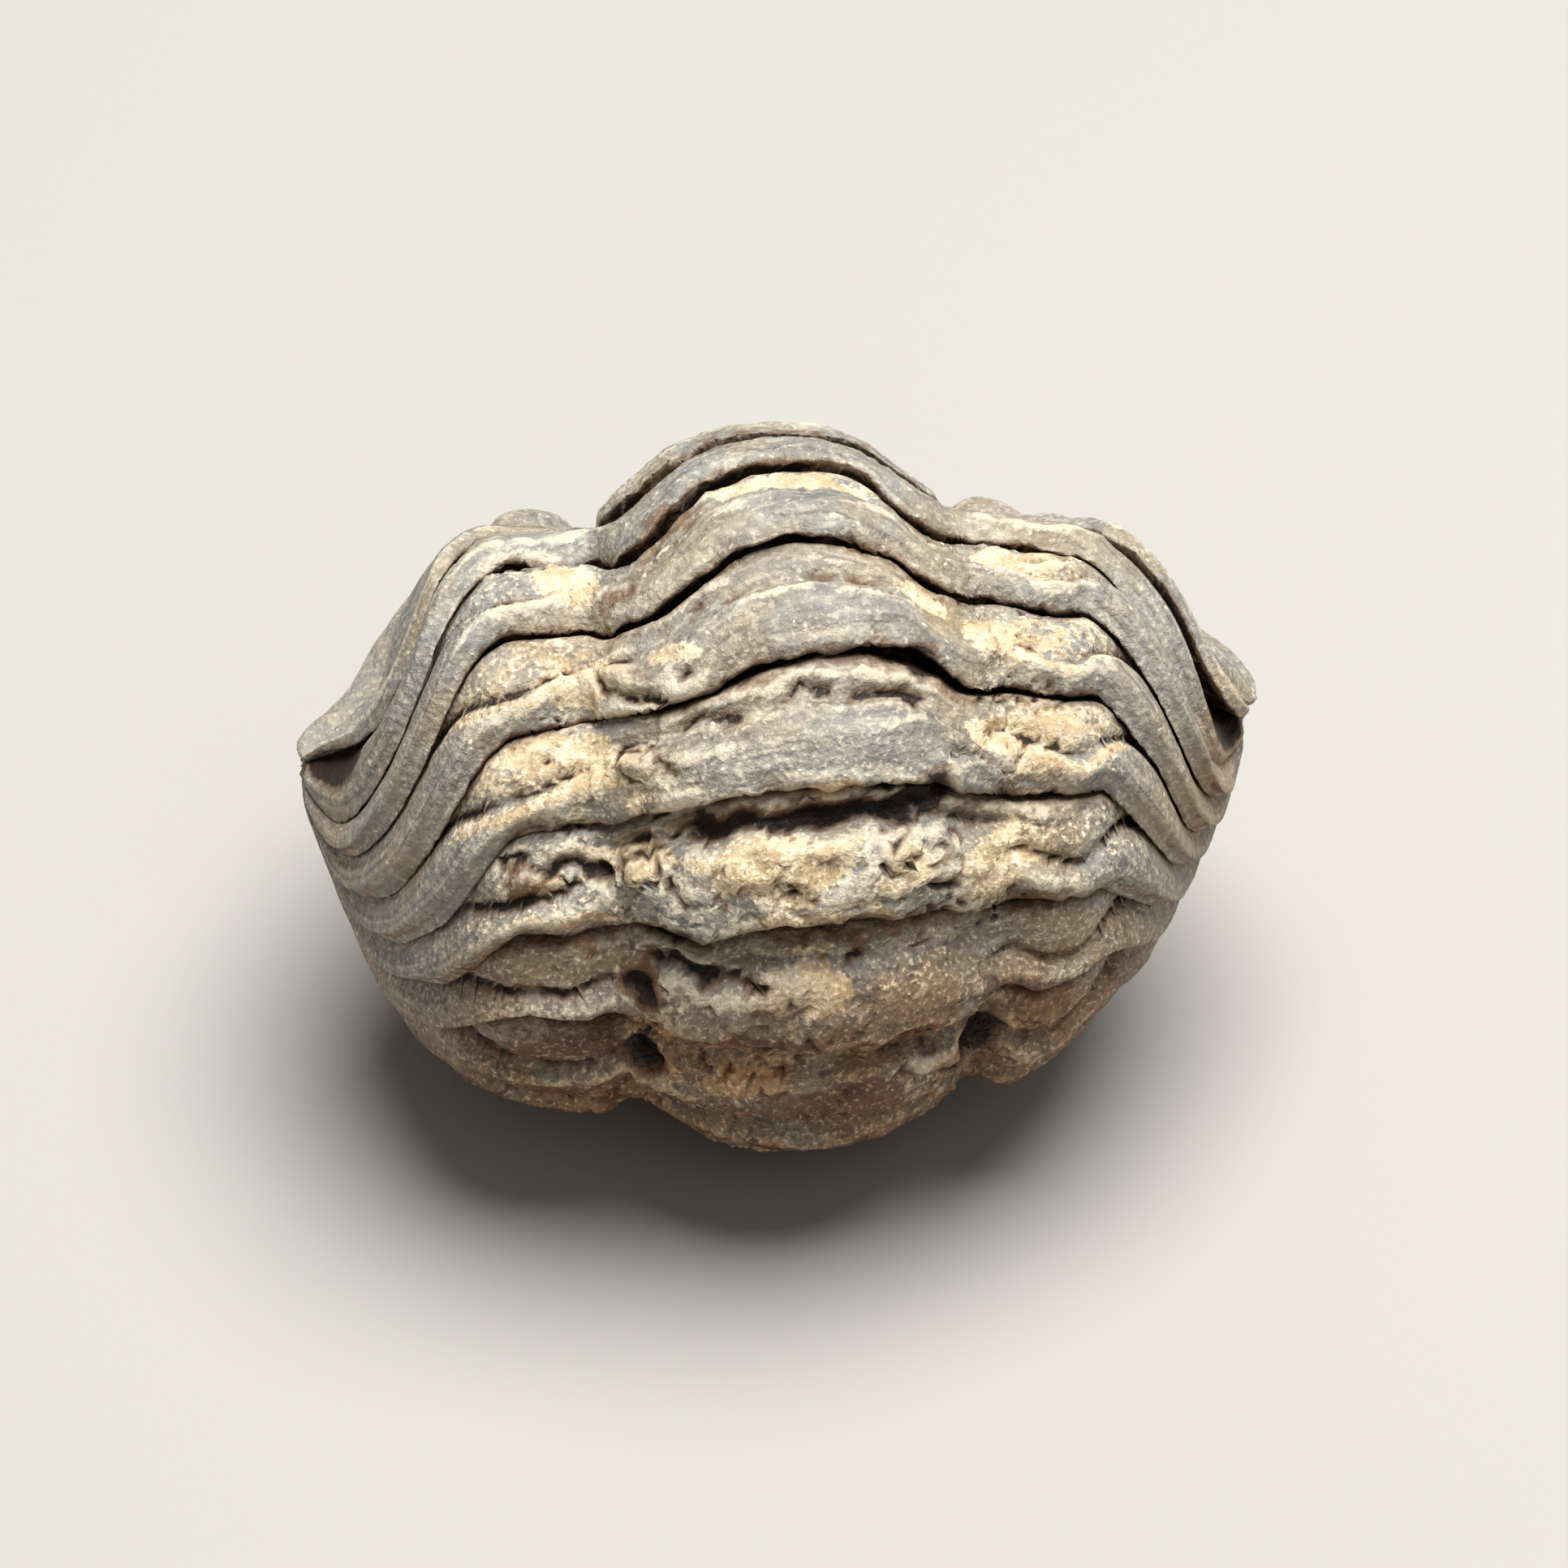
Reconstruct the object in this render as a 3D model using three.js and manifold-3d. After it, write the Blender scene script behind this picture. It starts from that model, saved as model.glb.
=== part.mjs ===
// A trilobite rolled up tight, turned to stone: one solid, in millimetres, Z up.
// X runs across the animal. The curved back of the thorax faces -Y, the head shield
// covers the top and the back, and the tail shield closes the coil underneath.
// An angle round the coil is 0 at the front and 90 at the top, and it falls from head to tail.

import * as THREE from "three";
import Module from "manifold-3d";

// --- Overall form -----------------------------------------------------------------
const CREST_RADIUS = 5.06;        // coil's centre to the top of the axial rings
const AXIS_EDGE = 0.30;           // place of the axial furrow, 0 at the middle, 1 at the tip
const PLAIN_CROWN = 4.25;         // radius at the middle where no axial lobe stands up
const BACK_SWELL = 0.215;         // how much longer the coil is behind, under the head
const BACK_ANGLE = 202;
const BACK_SPREAD = 66;
const TIP_SHIFT = 0.70;           // the tips lie this far from the coil's centre
const TIP_SHIFT_ANGLE = 132.8;
const RIGHT_DRAW_IN = 0.11;       // the right flank is pressed in a little below

// Outline of one flank from the axial furrow to the tip, above and below.
const FLANK_AT = [0.30, 0.38, 0.48, 0.58, 0.70, 0.80, 0.89, 0.95, 1.0];
const UPPER_R = [3.85, 3.90, 3.76, 3.33, 2.27, 1.28, 0.64, 0.30, 0.0];
const LOWER_R = [4.00, 4.22, 4.10, 3.77, 3.05, 2.02, 1.05, 0.50, 0.0];
const FLANK_OUT_AT = [0.58, 0.70, 0.80, 0.89, 0.95, 1.0];
const UPPER_X = [4.65, 5.45, 6.10, 6.60, 6.80, 6.84];
const LOWER_X = [4.80, 5.60, 6.15, 6.56, 6.76, 6.84];

// Half width of the axial lobe, tail to head.
const AXIS_ANGLE = [-165, -152, -126, -60, -24, -3, 19, 41, 64, 85, 107, 130, 140, 156, 170, 184, 196];
const AXIS_HALF = [0.7, 0.9, 1.65, 2.15, 2.35, 2.6, 2.8, 2.92, 2.85, 2.65, 2.5, 2.42, 2.38, 1.85, 1.6,
  1.45, 1.3];
// How much of the axial lobe stands up, tail margin to head margin.
const LOBE_ANGLE = [-165, -158, -146, -120, 140, 175, 187, 193, 196];
const LOBE_SHARE = [0, 0.1, 0.75, 1, 1, 0.85, 0.35, 0.05, 0];

// --- Segments ---------------------------------------------------------------------
// Rear edges round the middle: head margin, occipital ring, thirteen thoracic rings, tail margin.
const REAR_EDGE = [195.5, 125.5, 108, 86.4, 64.6, 42.6, 21.2, 1.8, -22.5, -43.5,
  -63.5, -82, -98.5, -113, -125.5, -164.5];
// How strongly each edge swings down towards the tip.
const EDGE_SWING = [0, 1.1, 1.05, 1.02, 1, 1, 1, 1, 0.93, 0.83, 0.71, 0.58, 0.45, 0.33, 0.23, 0];
const SWING_AT = [0, 0.46, 0.50, 0.555, 0.60, 0.65, 0.70, 0.75, 0.80, 0.86, 0.92, 1.0];
const SWING_BY = [0, 0, 3, 11, 20, 31.5, 45, 60, 78, 96, 106, 110];
const RIGHT_SWING_LAG = 0.06;
// How far each edge falls back between the axis and the pleura.
const EDGE_LAG = [0, 0.5, 5, 5, 5, 4.5, 4.5, 6, 6, 6, 6, 5, 4, 3, 2, 0];
const OVERHANG = 1.3;             // each rear edge overhangs the next segment by this angle

// Height across an axial ring from its front to its rear edge.
const RING_AT = [0, 0.10, 0.22, 0.32, 0.38, 0.46, 0.60, 0.78, 0.92, 1.0];
const RING_HIGH = [-0.46, -0.36, -0.28, -0.34, -0.42, -0.20, -0.03, 0.03, -0.02, -0.14];
// A pleural band's rounded back, front to rear.
const BAND_AT = [0, 0.15, 0.35, 0.55, 0.75, 0.9, 1.0];
const BAND_HIGH = [0, 0.55, 0.9, 1.0, 0.95, 0.78, 0.5];
const PLEURA_FLOOR = -0.29;
const FRONT_BAND = 0.16;
const REAR_BAND = 0.40;
const AXIAL_FURROW = 0.16;

// Lumps and pits: angle, place from the middle, side, radius, height, all as they stand.
const SPOTS = [
  [53, 0.235, 1, 0.42, 0.26],
  [47, 0.245, -1, 0.40, 0.24],
  [72, 0.235, -1, 0.48, 0.20],
  [25, 0.24, -1, 0.42, 0.22],
  [24, 0.20, 1, 0.45, 0.15],
  [-13, 0.285, -1, 0.34, -0.45],
  [-9, 0.30, 1, 0.42, -0.38],
];
// The open hollow under each genal angle.
const HOLLOW_PLACE = 0.855;
const HOLLOW_ANGLE = 36;
const HOLLOW_RADIUS = 0.62;
const HOLLOW_DEPTH = 0.62;

// --- Resting flat -----------------------------------------------------------------
const REST_CUT = 0.20;            // depth of the worn flat under the coil

// --- How finely the surface is faceted ----------------------------------------------
const SEGMENT_ROWS = [0, 0.15, 0.37, 0.5, 0.74, 0.91, 1];
const HEAD_ROWS = [0, 0.05, 0.11, 0.16, 0.22, 0.3, 0.38, 0.43, 0.48, 0.54, 0.6, 0.66, 0.72, 0.78,
  0.82, 0.855, 0.885, 0.94, 1];
const TAIL_ROWS = [0, 0.08, 0.17, 0.26, 0.35, 0.44, 0.53, 0.65, 0.82, 1];
const COLUMNS = [0, 0.07, 0.14, 0.2, 0.25, 0.29, 0.32, 0.37, 0.42, 0.47, 0.53, 0.58, 0.63, 0.68,
  0.73, 0.78, 0.82, 0.86, 0.9, 0.95, 1];

const rad = (degrees) => degrees * Math.PI / 180;

function ease(from, to, value) {
  const share = Math.min(1, Math.max(0, (value - from) / (to - from)));
  return share * share * (3 - 2 * share);
}

// A smooth curve through the given stops, without overshoot.
function curve(at, high, value) {
  const last = at.length - 1;
  if (value <= at[0]) return high[0];
  if (value >= at[last]) return high[last];
  let left = 0;
  while (value > at[left + 1]) left += 1;
  const slope = (k) => (high[k + 1] - high[k]) / (at[k + 1] - at[k]);
  const lean = (k) => {
    if (k === 0) return slope(0);
    if (k === last) return slope(last - 1);
    const before = slope(k - 1);
    const after = slope(k);
    if (before * after <= 0) return 0;
    return 2 * before * after / (before + after);
  };
  const width = at[left + 1] - at[left];
  const t = (value - at[left]) / width;
  const a = 2 * t ** 3 - 3 * t ** 2 + 1;
  const b = t ** 3 - 2 * t ** 2 + t;
  const c = t ** 3 - t ** 2;
  return high[left] * a + high[left + 1] * (1 - a) + width * (lean(left) * b + lean(left + 1) * c);
}

// A rounded hump of height 1 at the middle, 0 beyond its reach.
function hump(value, middle, reach) {
  const away = Math.abs(value - middle) / reach;
  return away >= 1 ? 0 : (1 - away * away) ** 2;
}

// Radius and reach across the body, without any segments.
function plainForm(place, angle, side) {
  const upper = 0.5 + 0.5 * Math.cos(rad(angle - TIP_SHIFT_ANGLE));
  const mix = (above, below) => above * upper + below * (1 - upper);
  const half = curve(AXIS_ANGLE, AXIS_HALF, angle);
  const lobe = curve(LOBE_ANGLE, LOBE_SHARE, angle);
  const flank = Math.max(place, AXIS_EDGE);
  let radius = mix(curve(FLANK_AT, UPPER_R, flank), curve(FLANK_AT, LOWER_R, flank));
  const bend = mix(UPPER_X[0], LOWER_X[0]);
  let across;
  if (place < AXIS_EDGE) {
    const turn = place / AXIS_EDGE * Math.PI / 2;
    const crown = PLAIN_CROWN + (CREST_RADIUS - PLAIN_CROWN) * lobe;
    across = half * (Math.sin(turn) * lobe + place / AXIS_EDGE * (1 - lobe));
    radius += (crown - radius) * Math.cos(turn);
  } else if (place < FLANK_OUT_AT[0]) {
    const share = (place - AXIS_EDGE) / (FLANK_OUT_AT[0] - AXIS_EDGE);
    across = half + (bend - half) * share;
  } else {
    across = mix(curve(FLANK_OUT_AT, UPPER_X, place), curve(FLANK_OUT_AT, LOWER_X, place));
  }
  if (side > 0) {
    const drawn = RIGHT_DRAW_IN * (1 - upper) * ease(0.35, 0.6, place) * (1 - 0.7 * ease(0.7, 0.9, place));
    radius *= 1 - drawn;
    across *= 1 - 0.6 * drawn;
  }
  let away = Math.abs(((angle - BACK_ANGLE + 540) % 360) - 180) / BACK_SPREAD;
  away = Math.min(1, away);
  radius *= 1 + BACK_SWELL * Math.cos(away * Math.PI / 2) ** 2;
  return { across, radius, half, lobe };
}

// Height of a thoracic segment's surface: share runs from its front to its rear edge.
function segmentRelief(share, place) {
  const ring = curve(RING_AT, RING_HIGH, share);
  const furrow = 0.46 - 0.36 * ease(0.44, 0.62, place);
  let pleura;
  if (share < furrow) {
    const front = FRONT_BAND * (1 - ease(0.48, 0.62, place));
    pleura = PLEURA_FLOOR + front * Math.sin(Math.PI * share / furrow) ** 0.7;
  } else {
    const back = (share - furrow) / (1 - furrow);
    pleura = PLEURA_FLOOR + 0.04 + REAR_BAND * curve(BAND_AT, BAND_HIGH, back);
  }
  const fade = 1 - 0.55 * ease(0.80, 0.98, place);
  const toPleura = ease(0.26, 0.34, place);
  const groove = AXIAL_FURROW * hump(place, 0.305, 0.055);
  return (ring * (1 - toPleura) + pleura * toPleura) * fade - groove;
}

// Height of the head shield: share 0 at the front margin, 1 at the rear edge.
function headRelief(share, place) {
  const rear = ease(0.845, 0.875, share);
  const ringBack = curve(BAND_AT, BAND_HIGH, Math.max(0, (share - 0.865) / 0.135));
  const border = (PLEURA_FLOOR + 0.02 + 0.38 * ringBack) * rear;
  const rearFurrow = -0.30 * hump(share, 0.855, 0.045);
  // glabella: lobes set off by three pairs of slanting furrows
  const edge = place / AXIS_EDGE;
  const inLobe = (1 - ease(0.9, 1.05, edge)) * ease(0.22, 0.28, share) * (1 - rear);
  const slant = share - 0.04 * (1 - edge);
  let lobes = 0.10 * inLobe;
  lobes -= 0.42 * hump(slant, 0.655, 0.055) * ease(0.35, 0.75, edge) * inLobe;
  lobes -= 0.32 * hump(slant, 0.535, 0.045) * ease(0.45, 0.8, edge) * inLobe;
  lobes -= 0.20 * hump(slant, 0.43, 0.040) * ease(0.55, 0.85, edge) * inLobe;
  const groove = -0.40 * hump(place, 0.31, 0.06) * ease(0.16, 0.26, share) * (1 - 0.6 * rear);
  // cheeks, eyes and the rolled rim
  const cheek = 0.22 * hump(place, 0.46, 0.17) * ease(0.20, 0.40, share) * (1 - ease(0.6, 0.8, share));
  const eyeAway = Math.hypot((share - 0.45) / 0.10, (place - 0.445) / 0.07);
  const eye = 0.46 * (eyeAway >= 1 ? 0 : (1 - eyeAway ** 2) ** 0.8);
  const eyeRing = -0.10 * hump(eyeAway, 1.2, 0.5);
  const rimLine = 0.155 + 0.10 * ease(0.30, 0.62, place);
  const frontRim = share < rimLine ? 0.34 * Math.sin(Math.PI * Math.min(1, share / rimLine)) ** 0.8 : 0;
  const rimFurrow = -0.24 * hump(share, rimLine + 0.025, 0.05);
  const sideRim = 0.16 * hump(place, 0.84, 0.10) * ease(0.1, 0.3, share) * (1 - ease(0.5, 0.85, share));
  const sideFurrow = -0.20 * hump(place, 0.73, 0.05) * ease(0.15, 0.35, share) * (1 - rear);
  const tip = 1 - 0.6 * ease(0.86, 1.0, place);
  const sunk = -0.30 * ease(0.5, 0.7, place) * ease(0.25, 0.6, share) * (1 - rear);
  const all = sunk + border + rearFurrow + lobes + groove + cheek + eye + eyeRing;
  return (all + frontRim + rimFurrow + sideRim + sideFurrow) * tip - 0.06;
}

// Height of the tail shield: share 0 at its front, 1 at its margin.
function tailRelief(share, place) {
  const inAxis = 1 - ease(0.85, 1.1, place / AXIS_EDGE);
  const rings = -0.16 * Math.cos(share * 6.2 * 2 * Math.PI) * inAxis * (1 - ease(0.7, 0.85, share));
  const fan = share * 4.6 + 1.6 * ease(0.3, 0.8, place);
  const field = ease(0.31, 0.36, place) * (1 - ease(0.70, 0.86, place)) * (1 - ease(0.74, 0.9, share));
  const ribs = -0.13 * Math.cos(fan * 2 * Math.PI) * field;
  const groove = -0.24 * hump(place, 0.31, 0.05) * (1 - ease(0.72, 0.86, share));
  return rings + ribs + groove - 0.16 - 0.14 * ease(0.85, 1.0, share);
}

// One point of the surface. Part 0 is the head, 1 to 13 the thorax, 14 the tail.
function surfacePoint(part, share, place, side) {
  const swingPlace = side > 0 ? place - RIGHT_SWING_LAG * ease(0.45, 0.6, place) * (1 - ease(0.85, 1, place))
    : place;
  const mix = (list) => list[part] + (list[part + 1] - list[part]) * share;
  let angle = mix(REAR_EDGE) - mix(EDGE_SWING) * curve(SWING_AT, SWING_BY, swingPlace);
  angle -= mix(EDGE_LAG) * ease(0.05, 0.24, place);
  const ends = part === 0 ? -ease(0.88, 1, share) : part === 14 ? 1 - ease(0, 0.12, share)
    : 1 - ease(0, 0.15, share) - ease(0.85, 1, share);
  angle += OVERHANG * ends * (1 + 0.8 * ease(0.5, 0.7, place)) * (1 - ease(0.85, 0.97, place));
  const form = plainForm(place, angle, side);
  let relief;
  if (part === 0) relief = headRelief(share, place);
  else if (part === 14) relief = tailRelief(share, place);
  else relief = segmentRelief(share, place);
  const radius = Math.max(0, form.radius + relief * (1 - ease(0.93, 1, place)));
  const spread = 0.35 * relief * ease(0.55, 0.8, place) * (1 - ease(0.93, 1, place));
  const shift = TIP_SHIFT * ease(0.45, 0.95, place);
  const point = new THREE.Vector3(
    side * (form.across + spread),
    -radius * Math.cos(rad(angle)) - shift * Math.cos(rad(TIP_SHIFT_ANGLE)),
    radius * Math.sin(rad(angle)) + shift * Math.sin(rad(TIP_SHIFT_ANGLE)));
  return point;
}

// A place on the plain form, for lumps and hollows.
function plainPoint(place, angle, side) {
  const form = plainForm(place, angle, side);
  const shift = TIP_SHIFT * ease(0.45, 0.95, place);
  return new THREE.Vector3(
    side * form.across,
    -form.radius * Math.cos(rad(angle)) - shift * Math.cos(rad(TIP_SHIFT_ANGLE)),
    form.radius * Math.sin(rad(angle)) + shift * Math.sin(rad(TIP_SHIFT_ANGLE)));
}

function addSpots(point) {
  for (const [angle, place, side, radius, height] of SPOTS) {
    const centre = plainPoint(place, angle, side);
    const away = point.distanceTo(centre) / radius;
    if (away < 1) {
      const out = new THREE.Vector3(0.3 * side, -Math.cos(rad(angle)), Math.sin(rad(angle))).normalize();
      point.addScaledVector(out, height * (1 - away * away) ** 1.5);
    }
  }
  for (const side of [-1, 1]) {
    const centre = plainPoint(HOLLOW_PLACE, HOLLOW_ANGLE, side);
    const away = point.distanceTo(centre) / HOLLOW_RADIUS;
    if (away < 1) {
      const inward = new THREE.Vector3(-0.45 * side, 0.75, -0.35).normalize();
      point.addScaledVector(inward, HOLLOW_DEPTH * (1 - away ** 3));
    }
  }
  return point;
}

// --- The surface as one closed sheet -------------------------------------------------
const rows = [];
HEAD_ROWS.forEach((share) => rows.push([0, share]));
for (let part = 1; part <= 13; part += 1) {
  SEGMENT_ROWS.forEach((share) => rows.push([part, share]));
}
TAIL_ROWS.forEach((share) => rows.push([14, share]));

const stations = [];
for (let k = COLUMNS.length - 2; k > 0; k -= 1) stations.push([COLUMNS[k], -1]);
for (let k = 0; k < COLUMNS.length - 1; k += 1) stations.push([COLUMNS[k], 1]);

const points = [];
for (const [part, share] of rows) {
  for (const [place, side] of stations) {
    points.push(addSpots(surfacePoint(part, share, place, side)));
  }
}
const leftTip = points.length;
points.push(surfacePoint(1, 0, 1, -1));
const rightTip = points.length;
points.push(surfacePoint(1, 0, 1, 1));

const wide = stations.length;
const corner = (row, column) => (row % rows.length) * wide + column;
const faces = [];
for (let row = 0; row < rows.length; row += 1) {
  for (let column = 0; column + 1 < wide; column += 1) {
    const a = corner(row, column);
    const b = corner(row, column + 1);
    const c = corner(row + 1, column + 1);
    const d = corner(row + 1, column);
    faces.push([a, d, c]);
    faces.push([a, c, b]);
  }
  faces.push([leftTip, corner(row + 1, 0), corner(row, 0)]);
  faces.push([rightTip, corner(row, wide - 1), corner(row + 1, wide - 1)]);
}

// --- The worn flat that it rests on ----------------------------------------------------
const wasm = await Module();
wasm.setup();
const whole = new wasm.Manifold(new wasm.Mesh({
  numProp: 3,
  vertProperties: new Float32Array(points.flatMap((point) => point.toArray())),
  triVerts: new Uint32Array(faces.flat()),
}));
const low = whole.boundingBox().min[2];
const rested = whole.trimByPlane([0, 0, 1], low + REST_CUT);
const box = rested.boundingBox();
const middle = [0, 1].map((k) => -(box.min[k] + box.max[k]) / 2);
const stood = rested.translate([middle[0], middle[1], -box.min[2]]);
const mesh = stood.getMesh();

const geometry = new THREE.BufferGeometry();
geometry.setAttribute("position", new THREE.BufferAttribute(mesh.vertProperties, 3));
geometry.setIndex(new THREE.BufferAttribute(mesh.triVerts, 1));
const stone = new THREE.MeshStandardMaterial({ color: 0x8b8e8c, roughness: 0.85, metalness: 0 });
stone.name = "limestone";
const trilobite = new THREE.Mesh(geometry, stone);
trilobite.name = "trilobite";

const group = new THREE.Group();
group.name = "trilobite_fossil";
group.add(trilobite);

export default group;
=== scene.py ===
"""A trilobite rolled up tight and turned to stone, finished for rendering.

The body is a coil round the X axis. An angle round the coil is 0 at the front and 90 at the top, and
it falls from head to tail. A place runs from 0 on the midline to 1 at the tip of each side. Part 0 is
the head shield, parts 1 to 13 are the thorax and part 14 is the tail shield.
"""
import math

import bmesh
import bpy
import numpy as np
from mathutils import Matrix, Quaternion, Vector, noise


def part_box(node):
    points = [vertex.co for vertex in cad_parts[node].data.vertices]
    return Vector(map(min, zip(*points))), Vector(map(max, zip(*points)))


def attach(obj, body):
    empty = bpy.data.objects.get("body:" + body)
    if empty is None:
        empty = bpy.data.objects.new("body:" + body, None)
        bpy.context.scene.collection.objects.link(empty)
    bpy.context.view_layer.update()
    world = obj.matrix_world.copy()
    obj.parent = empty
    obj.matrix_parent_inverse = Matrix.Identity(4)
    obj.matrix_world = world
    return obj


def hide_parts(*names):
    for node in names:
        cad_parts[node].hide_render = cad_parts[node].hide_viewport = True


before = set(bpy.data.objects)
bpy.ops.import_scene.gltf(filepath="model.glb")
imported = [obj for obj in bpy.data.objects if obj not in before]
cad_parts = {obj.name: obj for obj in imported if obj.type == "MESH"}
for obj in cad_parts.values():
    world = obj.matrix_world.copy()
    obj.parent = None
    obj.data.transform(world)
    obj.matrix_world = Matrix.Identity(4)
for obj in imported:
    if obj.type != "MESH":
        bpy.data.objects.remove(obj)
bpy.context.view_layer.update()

bl_info = {
    "name": "Rolled Trilobite Fossil",
    "version": (1, 0, 0),
    "blender": (4, 5, 0),
    "location": "View3D > Sidebar > Fossil",
    "description": "Builds a rolled-up trilobite fossil with its stone, and a plain studio stage",
    "category": "Add Mesh",
}

NODE = "trilobite"
MM = 0.001

# ---- Form of the coil, in millimetres from the coil's centre ----
COIL_FROM_CORNER = np.array([6.84, 5.05, 4.875])   # the box's low corner to the coil's centre
REST_DEPTH = 4.875               # the worn flat lies this far below the coil's centre
CREST_RADIUS = 5.06              # of the raised axis on the midline
AXIS_EDGE = 0.3                  # the place where the axis ends and the flank begins
BREADTH_BEYOND = 2.5             # half widths of the axis in one unit of place beyond its edge
AXIS_ARCH = 2.5                  # how full the arch of the axis is
AXIS_VALLEY = 0.34               # how softly it meets the ribs
PLAIN_CROWN = 4.25               # the midline's radius where the axis is flat, at head and tail ends
BACK_SWELL = 0.215               # how much the back swells, round which angle and how far round it
BACK_ANGLE = 202.0
BACK_SPREAD = 66.0
TIP_SHIFT = 0.7                  # how far the tips lie from the coil's centre, and in which direction
TIP_SHIFT_ANGLE = 132.8
RIGHT_DRAW_IN = 0.135            # how much slimmer the right flank is, and the share of it across
RIGHT_NARROWING = 0.6

# Radius and reach of the flanks at these places: above and below the tips, and above on the right.
FLANK_AT = [0.24, 0.3, 0.38, 0.48, 0.58, 0.7, 0.8, 0.89, 0.95, 1.0]
UPPER_R = [3.78, 3.78, 3.8, 3.88, 3.66, 2.22, 0.78, 0.28, 0.12, 0.0]
RIGHT_UPPER_R = [3.7, 3.7, 3.68, 3.58, 3.32, 2.46, 1.2, 0.48, 0.2, 0.0]
LOWER_R = [4.0, 4.0, 4.22, 4.1, 3.77, 3.05, 2.02, 1.05, 0.5, 0.0]
FLANK_OUT_AT = [0.58, 0.7, 0.8, 0.89, 0.95, 1.0]
UPPER_X = [4.65, 5.45, 6.1, 6.6, 6.8, 6.84]
LOWER_X = [4.8, 5.6, 6.15, 6.56, 6.76, 6.84]

# Half width of the axis, and how strongly it is raised, at these angles.
AXIS_ANGLE = [-165, -152, -126, -60, -24, -3, 19, 41, 64, 85, 107, 130, 140, 156, 170, 184, 196]
AXIS_HALF = [0.7, 0.9, 1.65, 2.15, 2.35, 2.6, 2.8, 2.92, 2.85, 2.65, 2.5, 2.42, 2.38, 1.85, 1.6,
             1.45, 1.3]
LOBE_ANGLE = [-165, -158, -146, -120, 140, 175, 187, 193, 196]
LOBE_SHARE = [0, 0.1, 0.75, 1, 1, 0.85, 0.35, 0.05, 0]

# Rear edges round the middle, from the head's margin to the tail's.
REAR_EDGE = [195.5, 125.5, 108, 86.4, 64.6, 42.6, 21.2, 1.8, -22.5, -43.5,
             -63.5, -82, -98.5, -113, -125.5, -164.5]
# How far each edge swings forward at these places, in degrees, and each edge's share of that.
EDGE_SWING = [0, 1.1, 1.05, 1.02, 1, 1, 1, 1, 0.93, 0.83, 0.71, 0.58, 0.45, 0.33, 0.23, 0]
SWING_AT = [0, 0.46, 0.5, 0.555, 0.6, 0.65, 0.7, 0.75, 0.8, 0.86, 0.92, 1.0]
SWING_BY = [0, 0, 3, 11, 20, 31.5, 45, 60, 78, 96, 106, 110]
RIGHT_SWING_AT = [0, 0.5, 0.55, 0.6, 0.66, 0.72, 0.76, 0.81, 0.86, 0.92, 1.0]
RIGHT_SWING_BY = [0, 0, 4, 11, 22, 39, 54.5, 77, 97, 112, 116]
# How far each edge falls back beside the midline, in degrees.
EDGE_LAG = [0, 0.5, 5, 5, 5, 4.5, 4.5, 6, 6, 6, 6, 5, 4, 3, 2, 0]
OVERHANG = 1.3                   # degrees by which an edge hangs over the next segment
TIP_WEAR = 0.13                  # how much the sharp tips are worn off

# Half ring, furrow across it and height of both, for each part from head to tail.
RING_FURROW = [0.38, 0.32, 0.36, 0.4, 0.4, 0.3, 0.34, 0.28] + [0.38] * 7
HALF_RING_HIGH = [-0.28, -0.26, -0.24, -0.17, -0.18, -0.26, -0.2, -0.14] + [-0.28] * 7
FURROW_HIGH = [-0.42, -0.3, -0.28, -0.2, -0.2, -0.4, -0.25, -0.22] + [-0.42] * 7
FULL_RING = 0.05                 # how much higher the rings behind the last flat one stand
LAST_FLAT_RING = 4
# Across a rib: a front band, a thin furrow and a rear band that rounds off at its edge.
FRONT_AT = [0, 0.12, 0.3, 0.6, 0.85, 1.0]
FRONT_HIGH = [0, 0.5, 0.85, 1.0, 0.95, 0.8]
BAND_AT = [0, 0.12, 0.3, 0.55, 1.0]
BAND_HIGH = [0, 0.5, 0.85, 1.0, 1.0]
PLEURA_FLOOR = -0.32
PLEURA_TOP = 0.17
BAND_RISE = 0.05
FRONT_BAND = 0.3
FURROW_DEPTH = 0.15
REAR_FALL = 0.3
AXIAL_FURROW = 0.05
GAP_DEPTH = 0.22                 # of the dark gap behind a rear edge
CHIP_DEPTH = 0.1                 # of the chips out of a rear edge
LIP_TUCK = 0.1                   # how far the underside of a lip is tucked in
JAG_STEPS = 2.5                  # steps to a unit of the ragged line of an edge
SEGMENT_TURN = 21.0              # degrees round the coil that one segment takes up

# Glabella furrows: share and half width, depth, then the shares of the axis where each sets in.
GLABELLA_FURROWS = [(0.655, 0.055, 0.42, 0.35, 0.75), (0.535, 0.045, 0.32, 0.45, 0.8),
                    (0.43, 0.04, 0.2, 0.55, 0.85)]
EYE_AT = (0.45, 0.445)           # share and place
EYE_REACH = (0.1, 0.07)
EYE_HEIGHT = 0.46
CHEEK_SWELL = 0.22
CHEEK_SUNK = (0.5, 0.12)         # on the left and on the right
RIM_HEIGHT = 0.34
TAIL_RINGS = 6.2
TAIL_RING_HIGH = 0.08
TAIL_RIBS = 4.6
TAIL_RIB_HIGH = 0.13

LAST_PART = 14
LAST_IN_VIEW = 9                 # parts behind this one lie underneath and carry the plain earth tint with its painted shade
# How many rows of facets each part gets, head to tail.
PART_ROWS = [78] + [34] * 8 + [20] * 5 + [44]
# Where rows lie in a segment: close together at both edges.
ROW_AT = [0, 0.14, 0.3, 0.55, 0.8, 1.0]
ROW_SHARE = [0, 0.035, 0.16, 0.48, 0.85, 1.0]
LIP_ROWS = 2                     # rows hidden under each overhanging edge
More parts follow.
